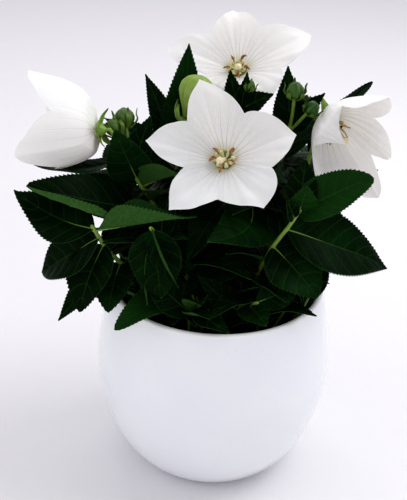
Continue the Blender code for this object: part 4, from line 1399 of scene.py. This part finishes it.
@dataclass(frozen=True)
class Calyx:
    """The green cup under a flower or bud, with five narrow sepals."""

    top: float = -0.7
    sepal_width: float = 4.6
    cup: Pairs = (
        (0.02, 0.0), (1.6, 0.05), (2.9, 0.0), (3.3, -0.35), (3.4, -0.9), (3.25, -1.6),
        (2.95, -2.4), (2.5, -3.1), (1.9, -3.8), (1.3, -4.3), (0.95, -4.8), (0.02, -5.0),
    )
    spread: Pairs = ((2.2, -2.6), (5.0, -2.1), (8.0, -1.7), (11.0, -1.5))
    hanging: Pairs = ((2.0, -2.2), (4.8, -2.0), (8.5, -3.6), (12.0, -6.8))
    raised: Pairs = ((2.2, -2.6), (4.6, -0.8), (7.0, 2.2), (8.2, 6.0))

    def add_cup(self, shape: Shape, seat: Seat) -> None:
        """Adds the ribbed cup.

        Args:
            shape: the mesh that it joins.
            seat: the flower's place.
        """
        radius, height = np.array(self.cup).T
        bearing = circle(40)
        rib = 0.98 + 0.045 * np.abs(np.cos(np.radians(bearing) * 5.0)) ** 0.6
        points = polar(radius[:, None] * rib, bearing[None, :], (self.top + height)[:, None])
        place = triples(bearing[None, :] / 360.0, height[:, None], height[:, None])
        shape.add_turned(seat.place(points), place)

    def add_sepal(self, shape: Shape, seat: Seat, bearing: float, path: Pairs, deep: float,
                  width: float) -> None:
        """Adds one narrow keeled sepal.

        Args:
            shape: the mesh that it joins.
            seat: the flower's place.
            bearing: its bearing round the flower.
            path: (reach, height) of the points that it runs through.
            deep: how deep its green is.
            width: its greatest width, in mm.
        """
        shares = np.linspace(0.0, 1.0, 15)
        route = tuple((reach, height, 0.0) for reach, height in path)
        run = smooth_points(route, shares)
        out = facing(bearing, 0.0)
        middle = run[:, :1] * out + run[:, 1:2] * np.array([0.0, 0.0, 1.0])
        beside = np.array([-out[1], out[0], 0.0])
        outline = 0.62 * (1.0 - shares) ** 0.3 + 0.75 * np.sin(math.pi * shares) * (1 - shares)
        half = width / 2 * np.maximum(outline, 0.03)
        across = np.linspace(-1.0, 1.0, 7)
        along = unit(np.gradient(middle, axis=0))
        up = unit(np.cross(beside, along))
        grid = middle[:, None] + beside * (half[:, None] * across)[..., None]
        grid = grid + up[:, None] * (0.30 * half[:, None] * np.abs(across))[..., None]
        thick = (0.26 * (1.0 - 0.6 * shares))[:, None, None] * up[:, None]
        place = triples(across[None, :] * 0.2, shares[:, None] * 9.0, shares[:, None])
        depth = deep + 0.9 * ease(shares, 0.72, 1.0)[:, None]
        mark = triples(depth, np.zeros(7), np.zeros(7))
        shape.add_shell(seat.place(grid + thick), seat.place(grid - thick), place, mark)


@dataclass(frozen=True)
class LeafyStem:
    """One stem with its leaves on stalks, its small buds, and the cup under its flower."""

    stem: Stem
    draw: Draw
    maker: LeafMaker = LeafMaker()
    calyx: Calyx = Calyx()
    sides: int = 14
    hole_depth: float = 8.7
    cup_depth: float = 7.0
    bud_heights: tuple[float, ...] = (1.0, 0.97, 0.90, 0.80, 0.66, 0.50, 0.35, 0.20, 0.08, 0.0)
    bud_widths: tuple[float, ...] = (0.01, 0.18, 0.46, 0.70, 0.90, 1.0, 0.96, 0.76, 0.45, 0.01)
    bud_sepal: Pairs = ((0.45, 0.02), (1.14, 0.36), (1.14, 0.62), (1.34, 0.88))
    blades: Shape = field(default_factory=Shape)
    stalks: Shape = field(default_factory=Shape)

    def seat(self) -> Seat | None:
        """The place of what stands at its top.

        Returns:
            The seat of the flower or the closed bud, or None where it has neither.
        """
        if self.stem.bloom:
            return self.stem.bloom.seat()
        if self.stem.closed_bud:
            return BalloonBud().seat()
        return None

    def route(self) -> tuple[Point, ...]:
        """The way that the stem runs.

        Returns:
            The points of its route, up to the cup if it has one.
        """
        seat = self.seat()
        if seat is None:
            return self.stem.route
        return (*self.stem.route, tuple(seat.origin - seat.axes[2] * self.cup_depth))

    def add_stalk(self) -> None:
        """Adds the stem, a little swollen where each leaf grows."""
        foot = np.array(self.stem.route[0], float)
        shares = np.linspace(0.0, 1.0, 70)
        path = np.vstack([foot - [0.0, 0.0, self.hole_depth], foot - [0.0, 0.0, 4.0],
                          smooth_points(self.route(), shares)])
        seat = self.seat()
        if seat is not None:
            path = np.vstack([path, seat.origin - seat.axes[2] * (self.cup_depth - 2.0)])
        low, high = self.stem.radii
        radii = low + (high - low) * np.linspace(0.0, 1.0, len(path))
        for leaf in (*self.stem.leaves, *self.stem.buds):
            near = self.stem.point(leaf.at)
            radii *= 1.0 + 0.13 * np.exp(-((np.linalg.norm(path - near, axis=1) / 1.6) ** 2))
        self.stalks.add_tube(path, radii, self.sides)

    def add_leaves(self) -> None:
        """Adds the leaves, each with the stalk that runs on under its midrib."""
        for leaf in self.stem.leaves:
            base = self.stem.point(leaf.at)
            rib = self.maker.add(self.blades, leaf, base, self.draw)
            run = rib[: max(8, len(rib) // 3)]
            thin = np.linspace(0.80, 0.28, len(run)) * (0.55 + 0.45 * min(leaf.width / 22.0, 1.0))
            up = unit(np.array(leaf.face, float))
            depth = 0.70 - 0.55 * leaf.tone if leaf.tone >= 0.0 else 0.50
            self.stalks.add_tube(run - up * (0.62 * thin[:, None]), thin, 8, (depth, 0.0, 0.0))

    def add_small_bud(self, bud: Bud) -> None:
        """Adds a small green bud with its stalk and its five sepals.

        Args:
            bud: its sizes and place.
        """
        base = self.stem.point(bud.at)
        centre = np.array(bud.centre, float)
        axis = unit(centre - base)
        foot = centre - axis * (bud.length / 2)
        bow = np.cross(axis, [0.3, 0.2, 1.0]) * self.draw.uniform(-0.8, 0.8)
        route = (tuple(base), tuple((base + foot) / 2 + bow), tuple(foot + axis))
        path = smooth_points(route, np.linspace(0, 1, 14))
        self.stalks.add_tube(path, np.linspace(0.9, 0.85, 14), 10, (0.30, 0.0, 0.0))
        seat = Seat.on(foot, axis)
        share = np.array(self.bud_heights)
        width = np.array(self.bud_widths)
        bearing = circle(40)
        lobes = 1.0 + 0.06 * np.cos(np.radians(bearing + 10.0) * 5.0)
        points = polar(bud.radius * width[:, None] * lobes, bearing[None, :], (bud.length * share)[:, None])
        place = triples(bearing[None, :] / 360.0, 8.0 * share[:, None], share[:, None])
        deep = self.draw.uniform(0.85, 1.15)
        self.stalks.add_turned(seat.place(points), place, (deep, 0.0, 0.0))
        sepal = tuple((reach * bud.radius, height * bud.length) for reach, height in self.bud_sepal)
        wide = 0.42 * bud.radius + 0.6
        for number in range(5):
            turn = 20.0 + PETAL_STEP * number + self.draw.uniform(-6, 6)
            self.calyx.add_sepal(self.stalks, seat, turn, sepal, deep - 0.25, wide)

    def add_calyx(self) -> None:
        """Adds the cup and the sepals under the flower or the closed bud, if there is one."""
        seat, bloom, calyx = self.seat(), self.stem.bloom, self.calyx
        if seat is None:
            return
        calyx.add_cup(self.stalks, seat)
        if bloom:
            bearings = [petal[0] for petal in bloom.petals]
            turns = [here + 0.5 * ((ahead - here) % 360.0)
                     for here, ahead in zip(bearings, (*bearings[1:], bearings[0]))]
            path = calyx.hanging if bloom.bell else calyx.spread
        else:
            turns = [PETAL_STEP * (number + 0.5) for number in range(5)]
            path = calyx.raised
        for turn in turns:
            size = self.draw.uniform(0.70, 1.05) if bloom else 1.0
            sepal = tuple((reach * size, height * size) for reach, height in path)
            turn += self.draw.uniform(-8, 8)
            calyx.add_sepal(self.stalks, seat, turn, sepal, 0.0, calyx.sepal_width)

    def build(self, finishes: Finishes) -> None:
        """Makes the blades and the stalks as two pieces that stand for the stem's CAD node.

        Args:
            finishes: the finishes of the part.
        """
        self.add_stalk()
        self.add_leaves()
        for bud in self.stem.buds:
            self.add_small_bud(bud)
        self.add_calyx()
        name = self.stem.name
        settle(self.blades.to_object(f"{name}_blades", finishes.leaf), Slot.LEAVES, name)
        settle(self.stalks.to_object(f"{name}_stalks", finishes.stalk), Slot.LEAVES, name)


# Flowers


@dataclass(frozen=True)
class OpenBloom:
    """An open flower: five petals joined into a bell, with the style and withered anthers inside."""

    bloom: Bloom
    draw: Draw
    throat_radius: float = 2.3
    cupping: float = 2.2
    thickness: float = 0.36
    columns: int = 30
    rows: int = 30
    style: Pairs = (
        (0.02, 10.3), (0.7, 10.15), (1.35, 9.7), (1.85, 8.9), (1.9, 8.2), (1.5, 7.4),
        (1.1, 6.8), (1.0, 6.2), (1.0, 3.0), (1.2, 1.2), (1.5, -0.3), (0.02, -0.4),
    )
    neck_foot: float = 4.0
    neck_length: float = 3.0
    scales: int = 8
    scale_hairs: int = 9
    scale_foot: float = 1.7
    scale_thickness: float = 0.44
    anther_thickness: float = 0.32
    anther_widths: Pairs = ((0.0, 0.22), (0.2, 0.30), (0.4, 0.95), (0.9, 0.8), (1.0, 0.25))
    corolla: Shape = field(default_factory=Shape)
    heart: Shape = field(default_factory=Shape)
    anthers: Shape = field(default_factory=Shape)

    def fold_in(self, beyond: Array, radius: Array, rise: Array) -> tuple[Array, Array]:
        """Turns the part of a petal beyond the bell's mouth inwards round a soft bend.

        Args:
            beyond: how far each point lies beyond the mouth along the petal, in mm.
            radius: the mouth's radius there.
            rise: the mouth's height there.

        Returns:
            The new radius and height.
        """
        bend, first, turn = 1.5, math.radians(66.0), math.radians(100.0)
        angle = np.minimum(beyond / bend, turn)
        rest = np.maximum(beyond - bend * turn, 0.0)
        inward = bend * (np.sin(first + angle) - math.sin(first)) + rest * math.cos(first + turn)
        upward = bend * (math.cos(first) - np.cos(first + angle)) + rest * math.sin(first + turn)
        return radius + inward, rise + upward

    def sweep(self, number: Array, aside: Array, share: Array) -> tuple[Array, Array, Array]:
        """The smooth form of the ring of petals, before its ripples.

        Args:
            number: the petal that each column of points belongs to.
            aside: how far the column lies from that petal's midrib, from -1 to 1.
            share: how far up each row of points lies, from throat to edge.

        Returns:
            The radius, bearing and height at each point.
        """
        petals = np.array(self.bloom.petals)
        count = len(petals)
        beside = (number + np.where(aside > 0, 1, -1)) % count
        size = np.abs(aside)
        turn = (petals[beside, 0] - petals[number, 0] + 180.0) % 360.0 - 180.0
        blend = 0.5 * (0.5 - 0.5 * np.cos(math.pi * size))
        reach = petals[number, 1] + (petals[beside, 1] - petals[number, 1]) * blend
        height = petals[number, 2] + (petals[beside, 2] - petals[number, 2]) * blend
        bearing = petals[number, 0] + 0.5 * turn * size
        notch = np.array(self.bloom.notch)[np.where(aside > 0, number, number - 1) % count]
        power = np.array(self.bloom.power)[number, (aside > 0).astype(int)]
        out = share * (1.0 - (1.0 - notch) * size**power)
        reach = reach * (0.97 + 0.03 * np.exp(-size / 0.08))
        radius = self.throat_radius + (reach - self.throat_radius) * out**self.bloom.swell
        rise = height * (1.0 - (1.0 - out) ** self.bloom.depth_power) + self.cupping * out * out * size
        if self.bloom.folded >= 0:
            brim = float(np.mean(self.bloom.notch))
            mouth = self.throat_radius + (reach - self.throat_radius) * brim**self.bloom.swell
            lip = height * (1.0 - (1.0 - brim) ** self.bloom.depth_power)
            span = 1.15 * np.hypot(reach - mouth, height - lip) / (1.0 - brim)
            turned = self.fold_in(np.maximum(out - brim, 0.0) * span, mouth, lip)
            here = (number == self.bloom.folded) & (out > brim)
            radius, rise = np.where(here, turned[0], radius), np.where(here, turned[1], rise)
        return radius, bearing, rise

    def add_petals(self) -> None:
        """Adds the ring of petals as one thin body."""
        count = len(self.bloom.petals)
        column = np.arange(count * self.columns) / self.columns
        number = column.astype(int)
        aside = 2.0 * (column - number) - 1.0
        share = np.linspace(0.0, 1.0, self.rows)[:, None] ** 0.95
        radius, bearing, rise = self.sweep(number, aside, share)
        curve = self.draw.random(count)[number]
        phase = self.draw.uniform(0.0, math.tau, (count, 3))
        edge = ease(share, 0.45, 1.0)
        ripple = 0.55 * np.sin(5.0 * aside + phase[number, 0])
        ripple = ripple + 0.35 * np.sin(11.0 * aside + phase[number, 1])
        crease = -0.55 * np.exp(-((aside / 0.10) ** 2)) * ease(share, 0.05, 0.4)
        furrow = 0.10 * np.cos(math.tau * 3.5 * aside) * ease(share, 0.1, 0.5)
        rise = rise + edge * ripple * ease(radius, 8.0, 30.0) + crease + furrow
        if not self.bloom.bell:
            rise = rise - 1.3 * ease(share, 0.80, 1.0) * np.exp(-((aside / 0.35) ** 2)) * (0.4 + 0.8 * curve)
        points = polar(radius, bearing, rise)
        normals = grid_normals(points, wrap=True)
        if normals[3, :, 2].mean() < 0.0:
            normals = -normals
        thin = self.thickness * (1.0 - 0.45 * share)[..., None] / 2
        place = triples(aside, share, number.astype(float))
        mark = triples(np.array(self.bloom.green), radius, np.array(self.bloom.warm)[number])
        seat = self.bloom.seat()
        upper, lower = seat.place(points + normals * thin), seat.place(points - normals * thin)
        self.corolla.add_shell(upper, lower, place, mark, wrap=True)

    def add_style(self) -> None:
        """Adds the style with its round, grooved tip."""
        radius, height = np.array(self.style).T
        bearing = circle(40)
        knob = height[:, None] > self.neck_foot + self.neck_length
        grooves = 1.0 - 0.16 * np.exp(-((off_petal(bearing) / 9.0) ** 2)) * knob
        neck = np.clip(height - self.neck_foot, 0.0, self.neck_length)
        height = height - (1.0 - self.bloom.tall) * neck
        points = polar(radius[:, None] * grooves, bearing[None, :], height[:, None])
        points = points + (neck / self.neck_length)[:, None, None] * np.array([*self.bloom.lean, 0.0])
        self.heart.add_turned(self.bloom.seat().place(points))

    def add_scales(self) -> None:
        """Adds the ring of hooked scales round the style, with short hairs on them."""
        draw = self.draw
        foot, eye, seat = self.scale_foot, self.bloom.eye, self.bloom.seat()
        steps = np.linspace(0.0, 1.0, 9)[:, None]
        across = np.linspace(-1.0, 1.0, 7)[None, :]
        for index in range(self.scales):
            middle = self.bloom.petals[0][0] + 360.0 / self.scales * index + draw.uniform(-6.0, 6.0)
            wide = draw.uniform(11.0, 17.0) * (1.0 - 0.45 * steps**2)
            curl = draw.uniform(0.64, 0.84)
            out = foot + (eye - foot) * np.sin(steps * math.pi * curl) * draw.uniform(0.88, 1.04)
            low = 1.5 + draw.uniform(2.6, 3.8) * steps - 0.6 * across**2
            bearing = middle + wide * across + draw.uniform(-9, 9) * steps
            grid = polar(out * (1.0 - 0.06 * across**2), bearing, low)
            normals = grid_normals(grid)
            outward = normals * np.sign((normals * grid * [1, 1, 0]).sum()) * (self.scale_thickness / 2)
            tint = (1.0 - steps) * 0.7
            mark = triples(tint, tint, tint)
            self.heart.add_shell(seat.place(grid + outward), seat.place(grid - outward), PLAIN, mark)
            for _ in range(self.scale_hairs):
                row, turn = draw.uniform(0.3, 1.0), middle + draw.uniform(-12.0, 12.0)
                radius = 1.5 + (eye - 1.5) * math.sin(row * math.pi * 0.62)
                start = polar(np.array(radius), np.array(turn), np.array(1.6 + 3.4 * row))
                tip = start + (facing(turn, 25.0) + draw.normal(0.0, 0.25, 3)) * draw.uniform(0.5, 1.0)
                self.heart.add_tube(seat.place(np.linspace(start, tip, 3)), np.array([0.10, 0.07, 0.03]), 4)

    def add_anthers(self) -> None:
        """Adds the five withered anthers, curled strips that lie between the petals' middles."""
        draw, seat, bell = self.draw, self.bloom.seat(), self.bloom.bell
        for index in range(5):
            level = facing(self.bloom.petals[index][0] + 30.0 + draw.uniform(-10.0, 10.0), 0.0)
            long = index in (1, 2) if self.bloom.folded >= 0 else bell or index == 3
            short = 1.0 if long else draw.uniform(0.55, 0.80)
            first = self.bloom.splay[0][0]
            route = tuple(tuple(level * (first + short * (reach - first)) + [0.0, 0.0, height])
                          for reach, height in self.bloom.splay)
            shares = np.linspace(0.0, 1.0, 15)
            path = smooth_points(route, shares)
            beside = np.array([-level[1], level[0], 0.0])
            curl = draw.uniform(-1.0, 1.0)
            path = path + beside * (curl * np.sin(shares * 4.0)[:, None] * 0.7)
            path[:, 2] += 0.3 * np.sin(shares * 9.0 + curl)
            half = np.interp(shares, *np.array(self.anther_widths).T)
            roll = 0.8 * curl + 1.4 * shares
            wide = beside * np.cos(roll)[:, None] + np.array([0.0, 0.0, 1.0]) * np.sin(roll)[:, None]
            across = np.linspace(-1.0, 1.0, 5)
            grid = path[:, None] + wide[:, None] * (half[:, None] * across)[..., None]
            normals = grid_normals(grid)
            grid = grid + normals * (0.35 * half[:, None] * across**2)[..., None]
            thick = normals * (self.anther_thickness / 2)
            mark = (float(bell), 0.0, 0.0)
            self.anthers.add_shell(seat.place(grid + thick), seat.place(grid - thick), PLAIN, mark)

    def build(self, finishes: Finishes) -> None:
        """Makes the petals, the style and the anthers in place of their CAD nodes.

        Args:
            finishes: the finishes of the part.
        """
        self.add_petals()
        self.add_style()
        self.add_scales()
        self.add_anthers()
        name = self.bloom.name
        settle(self.corolla.to_object(f"{name}_corolla", finishes.petal), Slot.PETALS, f"{name}_petals")
        settle(self.heart.to_object(f"{name}_style", finishes.cream), Slot.CENTRE, f"{name}_centre")
        settle(self.anthers.to_object(f"{name}_anthers", finishes.anther), Slot.CENTRE, f"{name}_centre")


@dataclass(frozen=True)
class BalloonBud:
    """The closed balloon bud: five lobes that meet in seams and swell towards the top."""

    foot: Point = (-17.7, 8.8, 188.9)
    top: Point = (-10.7, 11.2, 209.2)
    radius: float = 8.2
    widths: Pairs = (
        (0.0, 0.24), (0.16, 0.42), (0.34, 0.72), (0.54, 0.98), (0.74, 0.98), (0.90, 0.74), (0.985, 0.34),
        (1.0, 0.03),
    )

    def seat(self) -> Seat:
        """The bud's place, at its foot."""
        return Seat.on(self.foot, np.subtract(self.top, self.foot))

    def build(self, finishes: Finishes) -> None:
        """Makes the bud in place of its CAD node.

        Args:
            finishes: the finishes of the part.
        """
        length = float(np.linalg.norm(np.subtract(self.top, self.foot)))
        share = np.linspace(0.0, 1.0, 46)
        swell = np.interp(share, *np.array(self.widths).T)
        for _ in range(3):
            swell[1:-1] = 0.25 * swell[:-2] + 0.5 * swell[1:-1] + 0.25 * swell[2:]
        bearing = circle(100)
        off = off_petal(bearing)
        keel = 0.025 * np.exp(-((off / 5.0) ** 2))
        seam = 0.10 * np.exp(-(((np.abs(off / (PETAL_STEP / 2)) - 1.0) / 0.14) ** 2))
        crown = ease(share, 0.80, 1.0)[:, None]
        lobes = 1.0 + 0.05 * np.cos(np.radians(bearing) * 5.0) - seam + keel
        radius = self.radius * swell[:, None] * (1.0 + (lobes - 1.0) * (1.0 - 0.3 * crown))
        points = polar(radius, bearing[None, :], (length * share)[:, None])
        ends = np.concatenate([points[:1] * [0.05, 0.05, 1.0], points])
        steps = np.concatenate([[0.0], share])
        place = triples(bearing[None, :] / PETAL_STEP, steps[:, None], steps[:, None])
        shape = Shape()
        shape.add_turned(self.seat().place(ends)[::-1], place[::-1])
        settle(shape.to_object("balloon_bud", finishes.bud), Slot.BUD, "bud_balloon")


# Undergrowth


@dataclass
class Undergrowth:
    """Small leaves low on the stems, painted dark as the shade deep inside the plant, each set where it
    crosses nothing that is already there.
    """

    tries: int = 5200
    most: int = 210
    shoots: int = 22
    shoot_radii: Pair = (0.85, 0.55)
    shoot_gap: float = 1.4
    heights: Pair = (97.0, 186.0)
    reach: float = 64.0
    # painted shade: the small leaves inside the plant get an almost black tone for the shade that falls there
    tone: float = 0.05
    stalk_tone: Point = (0.9, 0.0, 0.0)
    seed: int = 5
    maker: LeafMaker = LeafMaker(tooth_pitch=2.3, columns=(0.0, 0.08, 0.36, 0.70, 1.0),
                                 tooth_steps=((0.0, 0.0), (0.45, 0.7), (0.80, 1.0)))
    clear: tuple[tuple[Point, float], ...] = (((29.0, -43.0, 152.0), 13.0), ((4.0, -52.0, 154.0), 15.0),
                                              ((-52.0, -44.0, 140.0), 12.0))
    taken: list[BVHTree] = field(default_factory=list)

    def coarse(self, leaf: Leaf, base: Array) -> BVHTree:
        """A rough grid of one blade, to feel for what it would cross.

        Args:
            leaf: the blade's sizes and place.
            base: where it grows from, in mm.

        Returns:
            The grid as a search tree.
        """
        length, along, up, side = self.maker.axes(leaf, base)
        share = np.linspace(0.14, 1.0, 7)[:, None]
        reach = self.maker.half_width(leaf, share) * np.linspace(-1.0, 1.0, 5)[None, :]
        lift = leaf.arch * length * (4.0 * share * (1.0 - share) - self.maker.droop * share)
        lift = lift + math.tan(math.radians(leaf.fold)) * np.abs(reach)
        level = reach + leaf.bow * length * 4.0 * share * (1.0 - share)
        points = base + along * (length * share)[..., None] + side * level[..., None] + up * lift[..., None]
        numbers = np.arange(35).reshape(7, 5)
        quads = np.stack([numbers[:-1, :-1], numbers[1:, :-1], numbers[1:, 1:], numbers[:-1, 1:]], axis=-1)
        return BVHTree.FromPolygons(points.reshape(-1, 3).tolist(), quads.reshape(-1, 4).tolist())

    def learn(self, objects: list[bpy.types.Object]) -> None:
        """Takes note of finished pieces, so that no small leaf crosses them.

        Args:
            objects: the pieces.
        """
        for obj in objects:
            places = np.empty(len(obj.data.vertices) * 3)
            obj.data.vertices.foreach_get("co", places)
            faces = [tuple(face.vertices) for face in obj.data.polygons]
            self.taken.append(BVHTree.FromPolygons((places.reshape(-1, 3) / MM).tolist(), faces))

    def sprout(self, draw: Draw) -> list[Stem]:
        """Chooses the short shoots that rise from the soil between the stems.

        Args:
            draw: the source of their places.

        Returns:
            Each shoot as a stem with no leaves yet.
        """
        found: list[Stem] = []
        for _ in range(12 * self.shoots):
            bearing = draw.normal(-90.0, 70.0)
            foot = facing(bearing, 0.0) * draw.uniform(12.0, 44.0) + [0.0, 0.0, 92.5]
            way = facing(bearing + draw.normal(0.0, 30.0), draw.uniform(58.0, 84.0))
            lean = way * draw.uniform(16.0, 40.0)
            side = draw.normal(0.0, 0.8, 3) * [1.0, 1.0, 0.0]
            route = (tuple(foot), tuple(foot + 0.5 * lean + side), tuple(foot + lean))
            line = smooth_points(route, np.linspace(0.1, 1.0, 6))
            near = [tree.find_nearest(tuple(point))[3] for tree in self.taken[1:] for point in line]
            if min(near) < self.shoot_gap:
                continue
            found.append(Stem(f"shoot_{len(found)}", route, radii=self.shoot_radii))
            if len(found) >= self.shoots:
                break
        return found

    def fits(self, base: Array, tip: Array, pot: GlazedPot) -> bool:
        """Whether a small leaf stays over the soil and out of the gaps that the plant leaves open.

        Args:
            base: where it grows from, in mm.
            tip: its tip, in mm.
            pot: what it stays above.

        Returns:
            True where it does.
        """
        far = math.hypot(tip[0], tip[1])
        over_rim = tip[2] < pot.height + 4.0 and far > pot.rim_radius - 9.0
        low, high = self.heights
        if over_rim or tip[2] < low or tip[2] > high or far > self.reach:
            return False
        spots = (tip, 0.5 * (base + tip))
        return all(np.linalg.norm(spot - np.array(middle)) >= radius
                   for middle, radius in self.clear for spot in spots)

    def grow(self, stems: list[Stem], pot: GlazedPot, draw: Draw) -> list[tuple[Leaf, Array]]:
        """Chooses the small leaves.

        Args:
            stems: what they grow on.
            pot: what they stay above.
            draw: the source of their places.

        Returns:
            Each leaf with the point that it grows from.
        """
        chosen: list[tuple[Leaf, Array]] = []
        for number in range(self.tries):
            stem = stems[draw.integers(len(stems))]
            shoot = stem.name.startswith("shoot")
            at = draw.uniform(0.25, 1.0) if shoot else draw.uniform(0.06, 0.80)
            base = stem.point(at)
            heading = draw.uniform(0.0, 360.0)
            length = draw.uniform(22.0, 38.0) if number < self.tries // 3 else draw.uniform(14.0, 26.0)
            aim = facing(heading, draw.uniform(-12.0, 50.0))
            tip = base + aim * length
            face = facing(heading + 180.0, 68.0) + draw.normal(0.0, 0.22, 3)
            leaf = Leaf(
                at, tuple(tip), width=length * draw.uniform(0.44, 0.62), face=tuple(face),
                arch=draw.uniform(0.04, 0.14), fold=draw.uniform(8.0, 26.0), bow=draw.uniform(-0.08, 0.08),
                blunt=draw.uniform(0.7, 1.0), tone=self.tone,
            )
            if not self.fits(base, tip, pot):
                continue
            tree = self.coarse(leaf, base)
            if any(tree.overlap(other) for other in self.taken):
                continue
            self.taken.append(tree)
            chosen.append((leaf, base))
            if len(chosen) >= self.most:
                break
        return chosen

    def build(self, finishes: Finishes, stems: tuple[Stem, ...], pot: GlazedPot) -> None:
        """Makes the small leaves, in front and behind, and their stalks as three pieces.

        Args:
            finishes: the finishes of the part.
            stems: the leafy stems that they grow on.
            pot: what they stay above.
        """
        draw = np.random.default_rng(self.seed)
        front, back, stalks = Shape(), Shape(), Shape()
        shoots = self.sprout(draw)
        for shoot in shoots:
            path = smooth_points(shoot.route, np.linspace(0.0, 1.0, 16))
            stalks.add_tube(path, np.linspace(*shoot.radii, 16), 8, self.stalk_tone)
        for leaf, base in self.grow([*stems, *shoots], pot, draw):
            rib = self.maker.add(front if leaf.tip[1] < 0.0 else back, leaf, base, draw)
            run = rib[: max(7, len(rib) // 4) : 2]
            thin = np.linspace(0.50, 0.20, len(run))
            below = unit(np.array(leaf.face)) * (0.5 * thin[:, None])
            stalks.add_tube(run - below, thin, 6, self.stalk_tone)
        settle(front.to_object("small_leaf_blades_front", finishes.leaf), Slot.LEAVES)
        settle(back.to_object("small_leaf_blades_back", finishes.leaf), Slot.LEAVES)
        settle(stalks.to_object("small_leaf_stalks", finishes.stalk), Slot.LEAVES)


# Studio


@dataclass(frozen=True)
class SoftLight:
    """A rectangular light: where it hangs and looks, its sides in mm and its power in watts."""

    name: str
    place: Point
    aim: Point
    size: Pair
    power: float

    def build(self) -> None:
        """Adds the light."""
        data = bpy.data.lights.new(self.name, "AREA")
        data.shape = "RECTANGLE"
        data.size, data.size_y = self.size[0] * MM, self.size[1] * MM
        data.energy = self.power
        lamp = bpy.data.objects.new(self.name, data)
        lamp.location = Vector(self.place) * MM
        lamp.rotation_euler = (Vector(self.aim) - Vector(self.place)).to_track_quat("-Z", "Y").to_euler()
        bpy.context.scene.collection.objects.link(lamp)


@dataclass(frozen=True)
class Studio:
    """A pale floor, soft lights, pale surroundings and the camera of the photograph."""

    camera_place: Point = (0.0, -412.0, 343.0)
    pitch_down: float = 28.27
    yaw: float = -1.0
    roll: float = -2.09
    lens: float = 66.2
    floor_reach: Pair = (40.0, 3000.0)
    floor_drop: float = 0.05
    air: Colour = (0.97, 0.965, 1.0)
    air_strength: float = 0.60
    lights: tuple[SoftLight, ...] = (
        SoftLight("key_right", (620.0, 160.0, 900.0), (0.0, 0.0, 110.0), (700.0, 700.0), 4.4),
        SoftLight("fill_left", (-800.0, -300.0, 500.0), (0.0, 0.0, 140.0), (600.0, 800.0), 1.3),
        SoftLight("front_soft", (150.0, -1100.0, 560.0), (0.0, 0.0, 150.0), (900.0, 700.0), 1.3),
        SoftLight("top_back", (-60.0, 700.0, 1000.0), (0.0, 0.0, 150.0), (900.0, 500.0), 2.3),
    )

    def build_floor(self, finishes: Finishes) -> None:
        """Makes the floor, a wide flat disc a hair below the pot's foot.

        Args:
            finishes: the finishes of the part.
        """
        radius = np.concatenate([[0.02], np.geomspace(*self.floor_reach, 24)])
        bearing = circle(64)
        points = polar(radius[:, None], bearing[None, :], np.array([[-self.floor_drop]]))
        shape = Shape()
        numbers = shape.add_points(points, PLAIN, PLAIN, 1.0)
        shape.add_faces(numbers, wrap=True)
        floor = shape.to_object("studio_floor", finishes.floor)

    def build_lights(self) -> None:
        """Adds the lights and the pale surroundings."""
        for light in self.lights:
            light.build()
        world = bpy.data.worlds.new("pale_room")
        world.use_nodes = True
        back = world.node_tree.nodes["Background"]
        back.inputs["Color"].default_value = (*self.air, 1.0)
        back.inputs["Strength"].default_value = self.air_strength
        bpy.context.scene.world = world
        bpy.context.scene.view_settings.view_transform = "Standard"
        bpy.context.scene.view_settings.look = "Medium High Contrast"

    def build_camera(self) -> None:
        """Sets the camera where the photograph was taken from."""
        down, turn, roll = (math.radians(angle) for angle in (self.pitch_down, self.yaw, self.roll))
        ahead = Vector((math.sin(turn) * math.cos(down), math.cos(turn) * math.cos(down), -math.sin(down)))
        right = ahead.cross(Vector((0.0, 0.0, 1.0))).normalized()
        up = right.cross(ahead)
        cosine, sine = math.cos(roll), math.sin(roll)
        axes = Matrix((cosine * right - sine * up, sine * right + cosine * up, -ahead)).transposed().to_4x4()
        data = bpy.data.cameras.new("photo_camera")
        data.lens = self.lens
        data.sensor_width = 36.0
        data.sensor_fit = "AUTO"
        data.clip_start = 0.01
        camera = bpy.data.objects.new("photo_camera", data)
        camera.matrix_world = Matrix.Translation(Vector(self.camera_place) * MM) @ axes
        bpy.context.scene.collection.objects.link(camera)
        bpy.context.scene.camera = camera

    def build(self, finishes: Finishes) -> None:
        """Makes all of the studio.

        Args:
            finishes: the finishes of the part.
        """
        self.build_floor(finishes)
        self.build_lights()
        self.build_camera()


def write_sizes() -> None:
    """Brings the scene's placements up to date."""
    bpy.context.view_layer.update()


def main() -> None:
    """Dresses the part piece by piece."""
    logging.basicConfig(level=logging.INFO, format="%(name)s: %(message)s")
    finishes = Finishes.mixed()
    pot = GlazedPot()
    pot.build(finishes)
    PottingSoil(pot).build(finishes)
    for number, stem in enumerate(STEMS):
        LeafyStem(stem, np.random.default_rng(STEM_SEED + number)).build(finishes)
        if stem.bloom:
            OpenBloom(stem.bloom, np.random.default_rng(BLOOM_SEED + number)).build(finishes)
    BalloonBud().build(finishes)
    growth = Undergrowth()
    in_the_way = ("_blades", "_stalks", "_corolla", "_bud", "_glazed")
    growth.learn([obj for obj in bpy.data.objects if obj.name.endswith(in_the_way)])
    growth.build(finishes, STEMS, pot)
    Studio().build(finishes)
    write_sizes()


if __name__ == "__main__":
    main()
